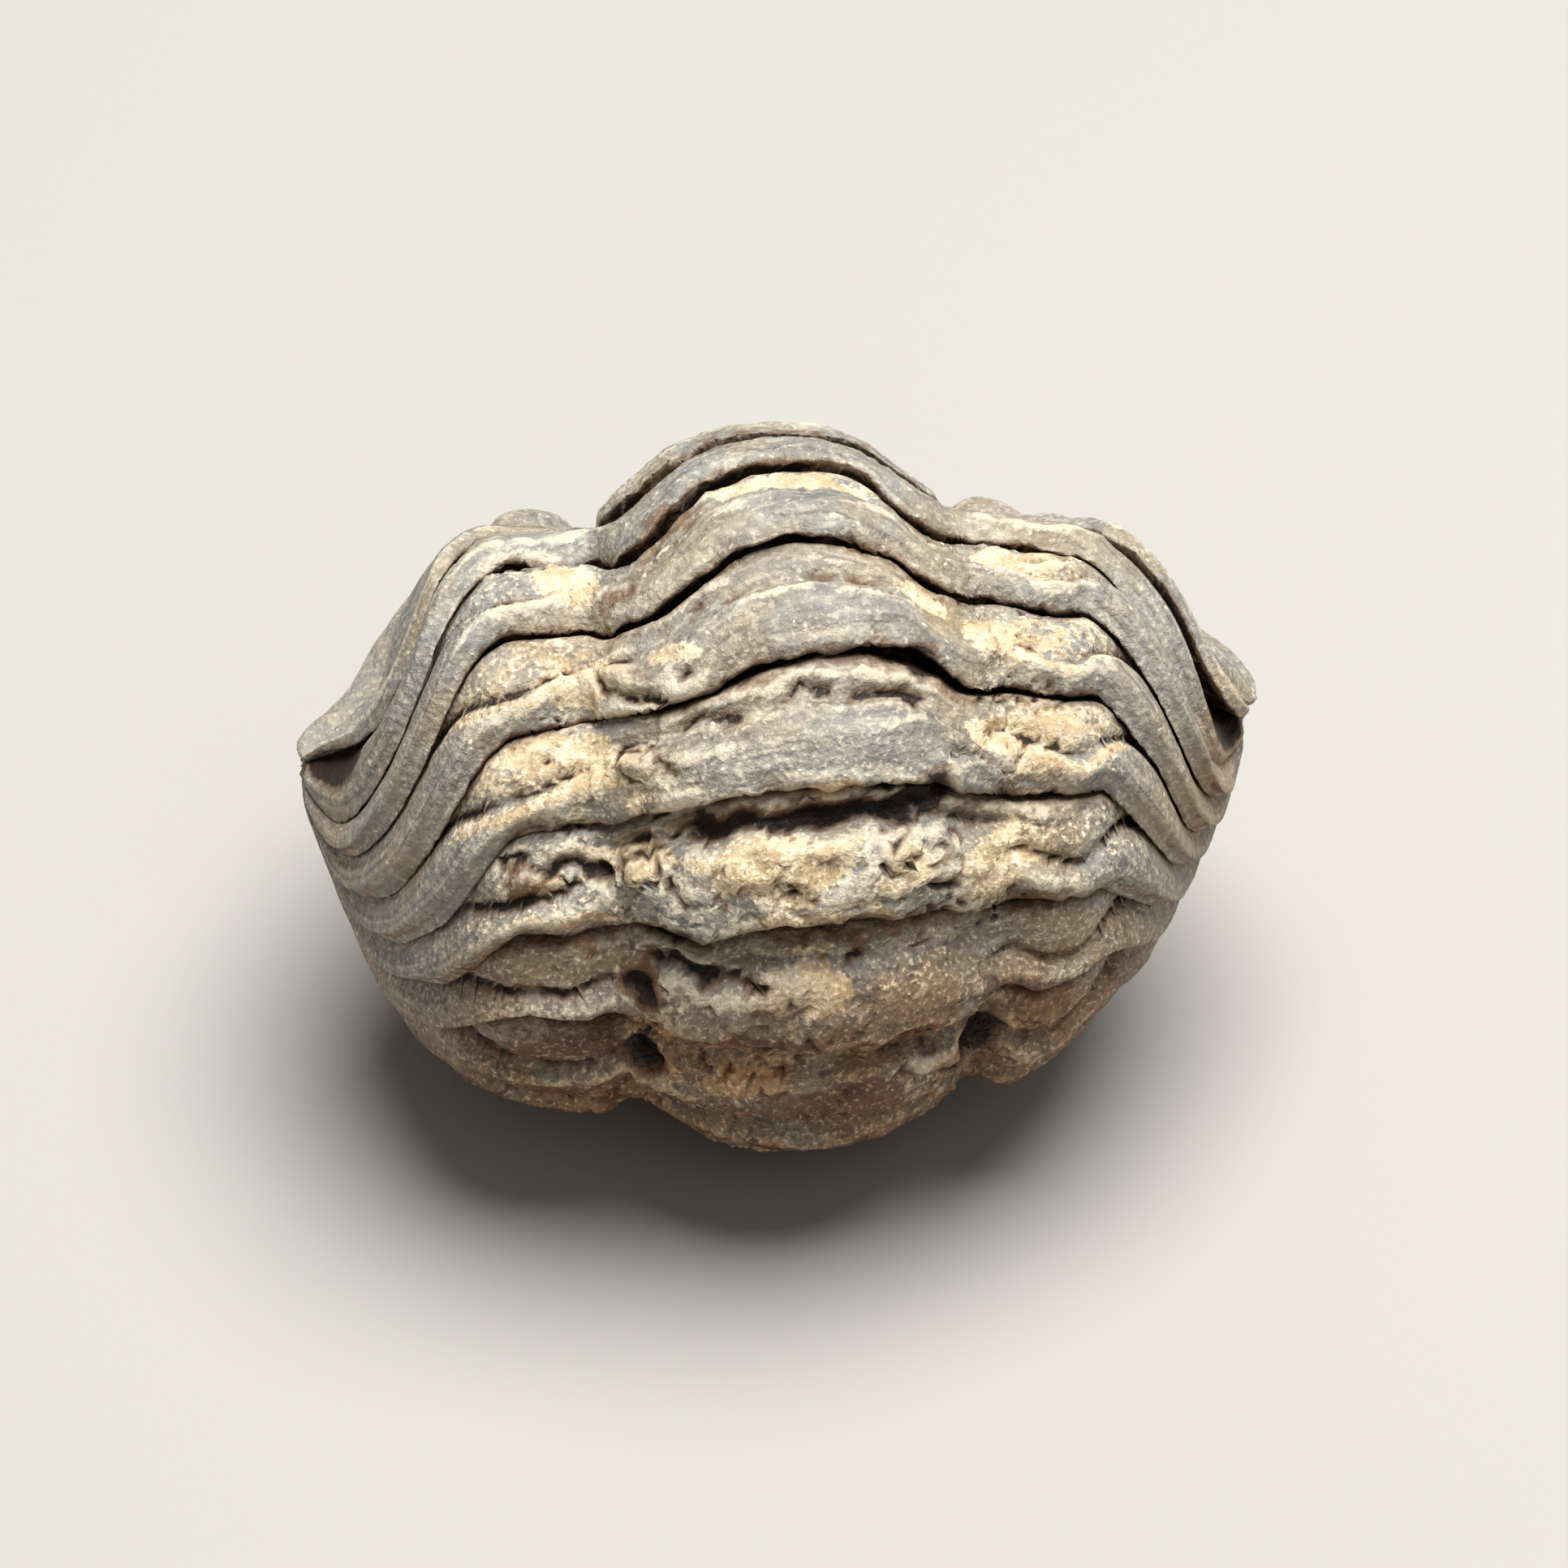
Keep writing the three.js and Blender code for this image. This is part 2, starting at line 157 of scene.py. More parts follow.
# Where columns lie between the midline and the tip.
COLUMN_AT = [0, 0.36, 0.6, 0.985]
COLUMN_PLACE = [0, 0.3, 0.58, 0.992]
# Folds of the surface: rounds of easing, between which cosines of slope, and how far it spreads.
FOLD_ROUNDS = 7
FOLDED = (0.2, 0.6)
FOLD_SPREAD = 3.0

MASK_KINDS = ("matrix", "stain_and_shade", "hollow", "pale", "ochre", "crust", "grey", "free_of_shade_and_dirt")


def ease(start, stop, value):
    """Smooth step from 0 at start to 1 at stop."""
    share = np.clip((value - start) / (stop - start), 0.0, 1.0)
    return share * share * (3.0 - 2.0 * share)


def fall(start, stop, value):
    """Smooth step from 1 at start to 0 at stop."""
    return 1 - ease(start, stop, value)


def curve(at, high, value):
    """A smooth curve through the given stops, without overshoot."""
    at = np.asarray(at, float)
    high = np.asarray(high, float)
    value = np.clip(value, at[0], at[-1])
    slope = np.diff(high) / np.diff(at)
    lean = np.zeros(len(at))
    lean[0] = slope[0]
    lean[-1] = slope[-1]
    product = slope[:-1] * slope[1:]
    total = slope[:-1] + slope[1:]
    steady = product > 0
    lean[1:-1][steady] = 2.0 * product[steady] / total[steady]
    left = np.clip(np.searchsorted(at, value, side="right") - 1, 0, len(at) - 2)
    width = at[left + 1] - at[left]
    t = (value - at[left]) / width
    a = 2 * t ** 3 - 3 * t ** 2 + 1
    b = t ** 3 - 2 * t ** 2 + t
    c = t ** 3 - t ** 2
    return high[left] * a + high[left + 1] * (1 - a) + width * (lean[left] * b + lean[left + 1] * c)


def hump(value, middle, reach):
    """A rounded hump of height 1 at the middle, 0 beyond its reach."""
    away = np.abs(value - middle) / reach
    return np.where(away >= 1.0, 0.0, (1.0 - np.minimum(away, 1.0) ** 2) ** 2)


def mottle(points, size, seed, octaves=1):
    """Smooth random heights of about -1 to 1 over points in millimetres, in lumps of the given size."""
    flat = points.reshape(-1, 3) / size + np.array([seed * 13.7, seed * 5.3, seed * 9.1])
    if octaves == 1:
        values = [noise.noise(point) for point in flat.tolist()]
    else:
        values = [noise.fractal(point, 1.0, 2.1, octaves) for point in flat.tolist()]
    return np.array(values).reshape(points.shape[:-1])


def tip_calm(place):
    """How much of the relief is left towards a tip, where the columns run together."""
    return fall(0.93, 1, place)


def breadth(place):
    """A place's distance from the midline in half widths of the axis."""
    turn = np.minimum(place / AXIS_EDGE, 1.0) * math.pi / 2
    return np.sin(turn) + BREADTH_BEYOND * np.maximum(0.0, place - AXIS_EDGE)


def plain_form(place, angle, side):
    """Radius and reach across the body without any segments, as arrays."""
    upper = 0.5 + 0.5 * np.cos(np.radians(angle - TIP_SHIFT_ANGLE))
    half = curve(AXIS_ANGLE, AXIS_HALF, angle)
    lobe = curve(LOBE_ANGLE, LOBE_SHARE, angle)
    flank = np.maximum(place, AXIS_EDGE)
    above = np.where(side > 0, curve(FLANK_AT, RIGHT_UPPER_R, flank), curve(FLANK_AT, UPPER_R, flank))
    radius = above * upper + curve(FLANK_AT, LOWER_R, flank) * (1 - upper)
    bend = UPPER_X[0] * upper + LOWER_X[0] * (1 - upper)
    turn = np.minimum(place / AXIS_EDGE, 1.0) * math.pi / 2
    crown = PLAIN_CROWN + (CREST_RADIUS - PLAIN_CROWN) * lobe
    across_axis = half * (np.sin(turn) * lobe + place / AXIS_EDGE * (1 - lobe))
    share = (place - AXIS_EDGE) / (FLANK_OUT_AT[0] - AXIS_EDGE)
    beyond = np.maximum(0.0, share) * (bend - half) / half
    arch = 1 - (np.sin(turn) + np.minimum(beyond, 1.0)) ** AXIS_ARCH
    arch = 0.5 * (arch + np.sqrt(arch ** 2 + AXIS_VALLEY ** 2))
    radius = radius + (crown - radius) * np.where(place < FLANK_OUT_AT[0], arch, 0.0)
    across_inner = half + (bend - half) * share
    across_outer = (curve(FLANK_OUT_AT, UPPER_X, place) * upper
                    + curve(FLANK_OUT_AT, LOWER_X, place) * (1 - upper))
    across = np.where(place < AXIS_EDGE, across_axis,
                      np.where(place < FLANK_OUT_AT[0], across_inner, across_outer))
    drawn = RIGHT_DRAW_IN * (1 - upper) * ease(0.35, 0.6, place) * (1 - 0.55 * ease(0.7, 0.9, place))
    drawn = np.where(side > 0, drawn, 0.0)
    radius = radius * (1 - drawn)
    across = across * (1 - RIGHT_NARROWING * drawn)
    away = np.minimum(1.0, np.abs(np.mod(angle - BACK_ANGLE + 540, 360) - 180) / BACK_SPREAD)
    radius = radius * (1 + BACK_SWELL * np.cos(away * math.pi / 2) ** 2)
    return across, radius


def ring_relief(part, share):
    """Height of an axial ring: a low half ring, a furrow, then the ring proper with its rear lip."""
    ring = np.zeros(share.shape)
    for number in range(1, LAST_PART):
        furrow, half, low = RING_FURROW[number], HALF_RING_HIGH[number], FURROW_HIGH[number]
        full = FULL_RING if number > LAST_FLAT_RING else 0.0
        at = [0, 0.07, 0.62 * furrow, furrow, furrow + 0.09, 0.62, 0.8, 0.93, 1.0]
        high = [-0.42, half - 0.06, half, low, 0.45 * low, full, 0.04 + full, 0.02 + full, -0.09]
        rows = part[:, 0] == number
        ring[rows] = curve(at, high, share[rows])
    return ring


def pleural_furrow(place):
    """Share of a segment where its furrow lies; in front of it there is no band outside the bend."""
    return 0.54 + 0.16 * ease(0.3, 0.46, place) - 0.6 * ease(0.46, 0.63, place)


def furrow_reach(place):
    """Half width of the furrow, more where it crosses the rib aslant."""
    return 0.055 + 0.04 * hump(place, 0.545, 0.14)


def segment_relief(part, share, place):
    """Height of a thoracic segment: share runs from its front to its rear edge."""
    furrow = pleural_furrow(place)
    front = FRONT_BAND * fall(0.5, 0.62, place)
    ahead = np.clip(share / furrow, 0.0, 1.0)
    before = PLEURA_FLOOR + BAND_RISE * ahead + front * curve(FRONT_AT, FRONT_HIGH, ahead)
    shoulder = PLEURA_FLOOR + BAND_RISE + front * FRONT_HIGH[-1]
    back = np.clip((share - furrow) / (1 - furrow), 0.0, 1.0)
    behind = shoulder + (PLEURA_TOP - shoulder) * curve(BAND_AT, BAND_HIGH, back)
    behind = behind - REAR_FALL * ease(0.5, 1.15, back)
    pleura = np.where(share < furrow, before, behind)
    line = FURROW_DEPTH * hump(share, furrow, furrow_reach(place))
    pleura = pleura - line * fall(0.6, 0.7, place)
    fade = 1 - 0.55 * ease(0.8, 0.98, place)
    to_pleura = ease(0.76, 1.14, breadth(place))
    groove = AXIAL_FURROW * hump(breadth(place), 1.0, 0.16)
    low_parts = 1 + 0.35 * ease(3.9, 5.5, part) - 0.55 * ease(7.5, 10, part) - 0.3 * ease(9, 11, part)
    return (ring_relief(part, share) * (1 - to_pleura) + pleura * to_pleura) * fade * low_parts - groove


def head_relief(share, place, side):
    """Height of the head shield: share 0 at the front margin, 1 at the rear edge."""
    rear = ease(0.845, 0.875, share)
    ring_back = curve(BAND_AT, BAND_HIGH, np.maximum(0.0, (share - 0.865) / 0.135))
    ring_back = ring_back - 0.45 * ease(0.9, 1.03, share)
    border = (PLEURA_FLOOR + 0.02 + 0.4 * ring_back - 0.16 * hump(place, 0.37, 0.14)) * rear
    rear_furrow = -0.3 * hump(share, 0.855, 0.045)
    # glabella: lobes set off by three pairs of slanting furrows
    edge = place / AXIS_EDGE
    in_lobe = fall(0.9, 1.05, edge) * ease(0.22, 0.28, share) * (1 - rear)
    slant = share - 0.04 * (1 - edge)
    lobes = 0.1 * in_lobe
    for middle, reach, depth, start, stop in GLABELLA_FURROWS:
        lobes = lobes - depth * hump(slant, middle, reach) * ease(start, stop, edge) * in_lobe
    groove = -0.4 * hump(place, 0.31, 0.06) * ease(0.16, 0.26, share) * (1 - 0.6 * rear)
    # cheeks, eyes and the rolled rim
    cheek = CHEEK_SWELL * hump(place, 0.46, 0.17) * ease(0.2, 0.4, share) * fall(0.6, 0.8, share)
    eye_away = np.hypot((share - EYE_AT[0]) / EYE_REACH[0], (place - EYE_AT[1]) / EYE_REACH[1])
    eye = EYE_HEIGHT * (1 - np.minimum(eye_away, 1.0) ** 2) ** 0.8
    eye_ring = -0.1 * hump(eye_away, 1.2, 0.5)
    rim_line = 0.155 + 0.1 * ease(0.3, 0.62, place)
    rim_share = np.minimum(1.0, share / rim_line)
    front_rim = RIM_HEIGHT * np.abs(np.sin(math.pi * rim_share)) ** 0.8
    rim_furrow = -0.24 * hump(share, rim_line + 0.025, 0.05)
    side_rim = 0.16 * hump(place, 0.84, 0.1) * ease(0.1, 0.3, share) * fall(0.5, 0.85, share)
    side_furrow = -0.2 * hump(place, 0.73, 0.05) * ease(0.15, 0.35, share) * (1 - rear)
    tip = 1 - 0.6 * ease(0.86, 1.0, place)
    sunk = np.where(side > 0, -CHEEK_SUNK[1], -CHEEK_SUNK[0])
    sunk = sunk * ease(0.5, 0.7, place) * ease(0.25, 0.6, share) * (1 - rear)
    body = sunk + border + rear_furrow + lobes + groove + cheek + eye + eye_ring
    return (body + front_rim + rim_furrow + side_rim + side_furrow) * tip - 0.06


def tail_relief(share, place):
    """Height of the tail shield: share 0 at its front, 1 at its margin."""
    in_axis = fall(0.85, 1.1, place / AXIS_EDGE)
    rings = -TAIL_RING_HIGH * np.cos(share * TAIL_RINGS * 2 * math.pi) * in_axis
    rings = rings * fall(0.7, 0.85, share)
    fan = share * TAIL_RIBS + 1.6 * ease(0.3, 0.8, place)
    field = ease(0.31, 0.36, place) * fall(0.7, 0.86, place) * fall(0.74, 0.9, share)
    ribs = -TAIL_RIB_HIGH * np.cos(fan * 2 * math.pi) * field
    groove = -0.24 * hump(place, 0.31, 0.05) * fall(0.72, 0.86, share)
    return rings + ribs + groove - 0.16 - 0.14 * ease(0.85, 1.0, share)


class Sheet:
    """The whole surface as rows round the coil and columns from tip to tip."""

    def __init__(self, columns):
        parts, shares, lips = [], [], []
        for part, count in enumerate(PART_ROWS):
            steps = np.linspace(0, 1, count - LIP_ROWS)
            if 0 < part < LAST_PART:
                steps = np.interp(steps, ROW_AT, ROW_SHARE)
            parts += [part] * count
            shares += steps.tolist() + [1.0] * LIP_ROWS
            lips += [0.0] * len(steps) + [(k + 1) / (LIP_ROWS + 1) for k in range(LIP_ROWS)]
        self.part = np.array(parts)[:, None]
        self.share = np.array(shares)[:, None]
        self.lip = np.array(lips)[:, None]
        self.thorax = (self.part > 0) & (self.part < LAST_PART)
        across = 1 - 2 * np.arange(1, columns + 1) / (columns + 1)
        self.side = np.sign(across)[None, :]
        self.place = np.interp(np.abs(across), COLUMN_AT, COLUMN_PLACE)[None, :]

    def ride(self, stops):
        """A list of values at the rear edges, taken between them at every row."""
        stops = np.asarray(stops, float)
        return stops[self.part] + (stops[self.part + 1] - stops[self.part]) * self.share

    def along_edges(self, stops, rest=0.0):
        """Values at places along some of the rear edges, as an array of edges by columns."""
        across = (breadth(self.place) * self.side)[0]
        grid = np.linspace(-3.0, 3.0, 601)
        window = np.hanning(15)
        soft = window / window.sum()
        values = np.full((LAST_PART + 2, across.size), rest)
        for edge, pairs in stops.items():
            places = np.array([place for place, _ in pairs])
            high = np.interp(grid, np.sign(places) * breadth(np.abs(places)), [high for _, high in pairs])
            high = np.convolve(np.pad(high, len(window) // 2, mode="edge"), soft, mode="valid")
            values[edge] = np.interp(across, grid, high)
        return values

    def ride_edges(self, values):
        """The array that along_edges gives, taken between the edges at every row."""
        part = self.part[:, 0]
        return values[part] + (values[part + 1] - values[part]) * self.share


def angle_of(sheet, wander):
    """Angle round the coil of every point; wander bends the edges a little, in degrees."""
    place, share, part = sheet.place, sheet.share, sheet.part
    right_swing = curve(RIGHT_SWING_AT, RIGHT_SWING_BY, place)
    swing = np.where(sheet.side > 0, right_swing, curve(SWING_AT, SWING_BY, place))
    angle = sheet.ride(REAR_EDGE) - sheet.ride(EDGE_SWING) * swing
    angle = angle - sheet.ride(EDGE_LAG) * ease(0.05, 0.24, place)
    leads = np.where(part == 0, 0.0, 1 - ease(0, np.where(part == LAST_PART, 0.12, 0.15), share))
    trails = np.where(part == LAST_PART, 0.0, ease(0.85, 1, share))
    trails = np.where(part == 0, ease(0.88, 1, share), trails)
    reach = OVERHANG * (1 + 0.8 * ease(0.5, 0.7, place)) * fall(0.85, 0.97, place)
    reach = reach * (1 - 0.7 * ease(8.5, 10.5, part))
    return angle + (leads - trails) * reach + wander


def point_at(place, angle, side, relief):
    """The point of the coil's surface that stands relief above its plain form."""
    across, radius = plain_form(place, angle, side)
    calm = tip_calm(place)
    radius = np.maximum(0.0, radius + relief * calm)
    spread = 0.35 * relief * ease(0.55, 0.8, place) * calm
    shift = TIP_SHIFT * ease(0.45, 0.95, place)
    turn, lean = np.radians(angle), math.radians(TIP_SHIFT_ANGLE)
    return np.stack([
        side * (across + spread - TIP_WEAR * ease(0.955, 1.0, place)),
        -radius * np.cos(turn) - shift * math.cos(lean),
        radius * np.sin(turn) + shift * math.sin(lean),
    ], axis=-1)


# ---- What years in the ground did to it, and the shade and highlights painted on it ----
# A place on the shell is written as part.share and signed place, negative on the side of the open
# hollow.

# Where a rear edge hangs lower than its even line, as shares of a segment at signed places.
EDGE_BENDS = {
    1: [
        (-1.0, -1.0), (-0.94, -2.4), (-0.88, -2.6), (-0.81, -1.3), (-0.74, -0.25), (-0.66, 0.12),
        (-0.55, 0.1), (-0.45, 0.0), (-0.3, 0.0), (-0.2, 0.2), (-0.12, 0.1), (-0.04, 0.0), (0.1, 0.0),
        (0.2, 0.1), (0.3, 0.0), (0.6, 0.0), (0.69, -0.58), (0.754, -0.9), (0.818, -1.25), (0.86, -1.3),
        (0.94, -1.2), (1.0, 0.0),
    ],
    2: [
        (-0.31, 0.0), (-0.25, 0.18), (-0.19, 0.4), (-0.16, 0.46), (-0.12, 0.3), (-0.07, 0.12), (0.0, 0.0),
        (0.09, 0.05), (0.12, 0.2), (0.155, 0.34), (0.2, 0.26), (0.27, 0.0), (0.4, 0.04), (0.6, 0.0),
        (0.67, -0.14), (0.73, -0.26), (0.765, -0.28), (0.83, 0.0), (0.9, 0.6), (1.0, 0.8),
    ],
    3: [
        (-0.55, 0.0), (-0.45, 0.08), (-0.3, 0.03), (-0.25, 0.14), (-0.16, 0.32), (-0.13, 0.35),
        (-0.1, 0.26), (-0.05, 0.08), (0.0, 0.0), (0.12, 0.02), (0.16, 0.15), (0.2, 0.11), (0.3, -0.06),
        (0.42, 0.05), (0.55, 0.0), (0.8, 0.0), (0.9, 0.7), (1.0, 0.9),
    ],
    4: [
        (-0.6, 0.08), (-0.5, 0.14), (-0.4, 0.08), (-0.3, 0.0), (-0.2, 0.08), (-0.14, 0.22), (-0.11, 0.25),
        (-0.07, 0.16), (-0.03, 0.06), (0.0, 0.02), (0.07, -0.03), (0.11, -0.12), (0.14, -0.05),
        (0.18, 0.06), (0.3, -0.06), (0.45, 0.0), (0.66, 0.0), (0.72, 0.1), (0.76, 0.25), (0.82, 0.4),
        (0.9, 0.9), (1.0, 1.0),
    ],
    5: [
        (-1.0, 0.0), (-0.85, -0.25), (-0.75, -0.1), (-0.6, 0.12), (-0.5, 0.1), (-0.3, 0.0), (-0.18, -0.03),
        (-0.1, 0.03), (0.0, 0.0), (0.1, -0.04), (0.3, -0.06), (0.5, 0.0), (0.6, 0.0), (0.7, 0.15),
        (0.78, 0.35), (0.9, 0.8), (1.0, 0.9),
    ],
    6: [
        (-1.0, -0.2), (-0.8, -0.5), (-0.7, -0.32), (-0.6, 0.0), (-0.35, 0.03), (-0.25, -0.04),
        (-0.2, -0.12), (-0.17, -0.1), (-0.14, 0.05), (-0.1, 0.14), (-0.05, 0.02), (0.0, 0.0), (0.3, 0.0),
        (0.5, 0.1), (0.62, 0.15), (0.75, 0.4), (0.9, 0.7), (1.0, 0.7),
    ],
    7: [
        (-0.8, -0.3), (-0.6, -0.15), (-0.45, -0.06), (-0.3, 0.12), (-0.2, 0.02), (-0.1, 0.16), (0.0, 0.24),
        (0.15, 0.2), (0.3, 0.0), (0.6, 0.1), (0.8, 0.3), (0.9, 0.5), (1.0, 0.5),
    ],
    8: [(-0.3, -0.1), (0.0, 0.05), (0.3, -0.1), (0.7, 0.0), (0.9, 0.3), (1.0, 0.3)],
}
# How wide and deep the gap under a rear edge is, and how wide a painted shadow it gets, 1 for a plain one.
GAPS = {
    1: [(-0.25, 0.4), (-0.1, 0.8), (0.0, 0.5), (0.2, 0.4)],
    2: [
        (-0.48, 0.5), (-0.3, 0.8), (-0.2, 1.2), (-0.14, 2.2), (-0.08, 1.6), (0.0, 0.6), (0.08, 0.8),
        (0.13, 1.6), (0.2, 0.8), (0.35, 0.8), (0.5, 0.3),
    ],
    3: [
        (-0.6, 0.5), (-0.45, 1.0), (-0.3, 1.1), (-0.2, 2.0), (-0.1, 2.0), (-0.05, 1.0), (0.0, 0.8),
        (0.1, 0.8), (0.15, 1.7), (0.22, 1.0), (0.32, 1.0), (0.45, 1.4), (0.6, 0.8),
    ],
    4: [
        (-0.6, 0.9), (-0.35, 0.9), (-0.2, 0.6), (-0.12, 1.2), (-0.06, 2.0), (0.0, 1.0), (0.07, 0.9),
        (0.11, 3.0), (0.15, 2.6), (0.2, 1.2), (0.35, 1.5), (0.6, 1.2),
    ],
    5: [
        (-0.6, 0.8), (-0.3, 0.6), (-0.15, 0.6), (-0.09, 1.0), (0.0, 0.7), (0.08, 1.2), (0.13, 2.0),
        (0.2, 1.2), (0.3, 1.6), (0.6, 1.2),
    ],
    6: [
        (-0.6, 1.4), (-0.28, 1.0), (-0.2, 1.6), (-0.14, 2.2), (-0.1, 2.2), (-0.05, 1.6), (0.0, 1.4),
        (0.1, 1.6), (0.25, 1.3), (0.5, 1.0),
    ],
    7: [
        (-0.6, 1.9), (-0.3, 1.6), (-0.15, 1.6), (-0.04, 1.6), (0.0, 0.6), (0.05, 1.5), (0.12, 1.2),
        (0.2, 0.8), (0.35, 1.4),
    ],
    8: [(-0.6, 1.7), (-0.3, 1.3), (0.3, 1.2)],
}
# Knobs, then pits and holes: where, signed place, radius and height in millimetres.
KNOBS = [
    (3.72, -0.205, 0.5, 0.05), (4.6, -0.18, 0.36, 0.08), (4.72, 0.262, 0.44, 0.1), (5.55, -0.18, 0.42, 0.1),
    (6.42, -0.13, 0.34, 0.08), (3.55, 0.24, 0.4, 0.08), (2.6, -0.24, 0.42, 0.08), (7.45, 0.13, 0.3, 0.12),
    (5.47, -0.45, 0.34, 0.05),
]
PITS = [
    (7.5, -0.238, 0.26, -0.9), (7.56, 0.25, 0.32, -0.7), (4.4, -0.375, 0.1, -0.1),
    (4.6, -0.445, 0.11, -0.1), (4.62, 0.398, 0.12, -0.14), (2.3, -0.15, 0.2, -0.1),
    (2.55, -0.12, 0.14, -0.08), (6.6, -0.205, 0.24, -0.4), (5.5, -0.25, 0.2, -0.14),
    (2.14, -0.44, 0.13, -0.1),
]
HOLE_DEPTH = -0.35               # what is deeper than this is a hole
# Cracks, and ridges with a negative depth: width and depth in millimetres, then the places it runs through.
CRACKS = [
    (0.13, 0.2, [(6.56, -0.215), (6.42, -0.18), (6.3, -0.155), (6.34, -0.126), (6.44, -0.104),
                 (6.48, -0.076), (6.53, -0.042)]),
    (0.11, 0.16, [(2.16, -0.48), (2.12, -0.4)]),
    (0.11, 0.19, [(2.66, 0.38), (2.66, 0.455)]),
    (0.1, 0.11, [(2.36, 0.39), (2.38, 0.44), (2.36, 0.475)]),
    (0.13, 0.13, [(4.26, -0.115), (4.31, -0.067), (4.35, -0.034), (4.33, 0.0), (4.35, 0.042), (4.35, 0.076),
                  (4.4, 0.118)]),
    (0.12, 0.06, [(3.35, -0.105), (3.35, -0.067), (3.43, -0.034), (3.4, 0.017), (3.42, 0.076),
                  (3.53, 0.109)]),
    (0.2, 0.26, [(5.14, -0.13), (5.24, -0.08), (5.26, 0.0), (5.24, 0.06), (5.16, 0.13)]),
    (0.12, 0.17, [(3.6, -0.24), (3.5, -0.205), (3.46, -0.165)]),
    (0.12, 0.17, [(3.7, -0.245), (3.84, -0.215), (3.9, -0.165), (3.9, -0.135)]),
    (0.11, 0.13, [(3.82, -0.12), (3.9, -0.1)]),
    (0.1, 0.13, [(4.64, -0.205), (4.46, -0.2), (4.38, -0.18), (4.44, -0.158)]),
    (0.11, 0.13, [(4.5, -0.15), (4.68, -0.14), (4.84, -0.118)]),
    (0.11, 0.12, [(4.82, 0.15), (4.74, 0.18)]),
    (0.11, 0.14, [(5.66, -0.145), (5.52, -0.15), (5.4, -0.172), (5.44, -0.2)]),
    (0.1, 0.14, [(5.32, -0.48), (5.26, -0.44), (5.34, -0.41)]),
    (0.12, 0.13, [(5.42, -0.4), (5.4, -0.35), (5.46, -0.31), (5.42, -0.26)]),
    (0.1, 0.11, [(5.72, -0.36), (5.7, -0.3), (5.62, -0.24)]),
    (0.12, -0.14, [(7.62, -0.3), (7.82, -0.245), (7.8, -0.19), (7.72, -0.14)]),
    (0.11, -0.12, [(7.4, 0.205), (7.34, 0.25), (7.5, 0.3), (7.74, 0.26)]),
    (0.11, 0.14, [(7.52, 0.1), (7.6, 0.15), (7.72, 0.19)]),
    (0.1, 0.11, [(6.44, -0.24), (6.58, -0.225), (6.72, -0.19), (6.8, -0.165)]),
    (0.1, 0.11, [(6.36, -0.03), (6.6, -0.024), (6.86, -0.01), (7.0, 0.005)]),
    (0.1, 0.1, [(6.14, 0.02), (6.24, 0.05), (6.36, 0.03)]),
]
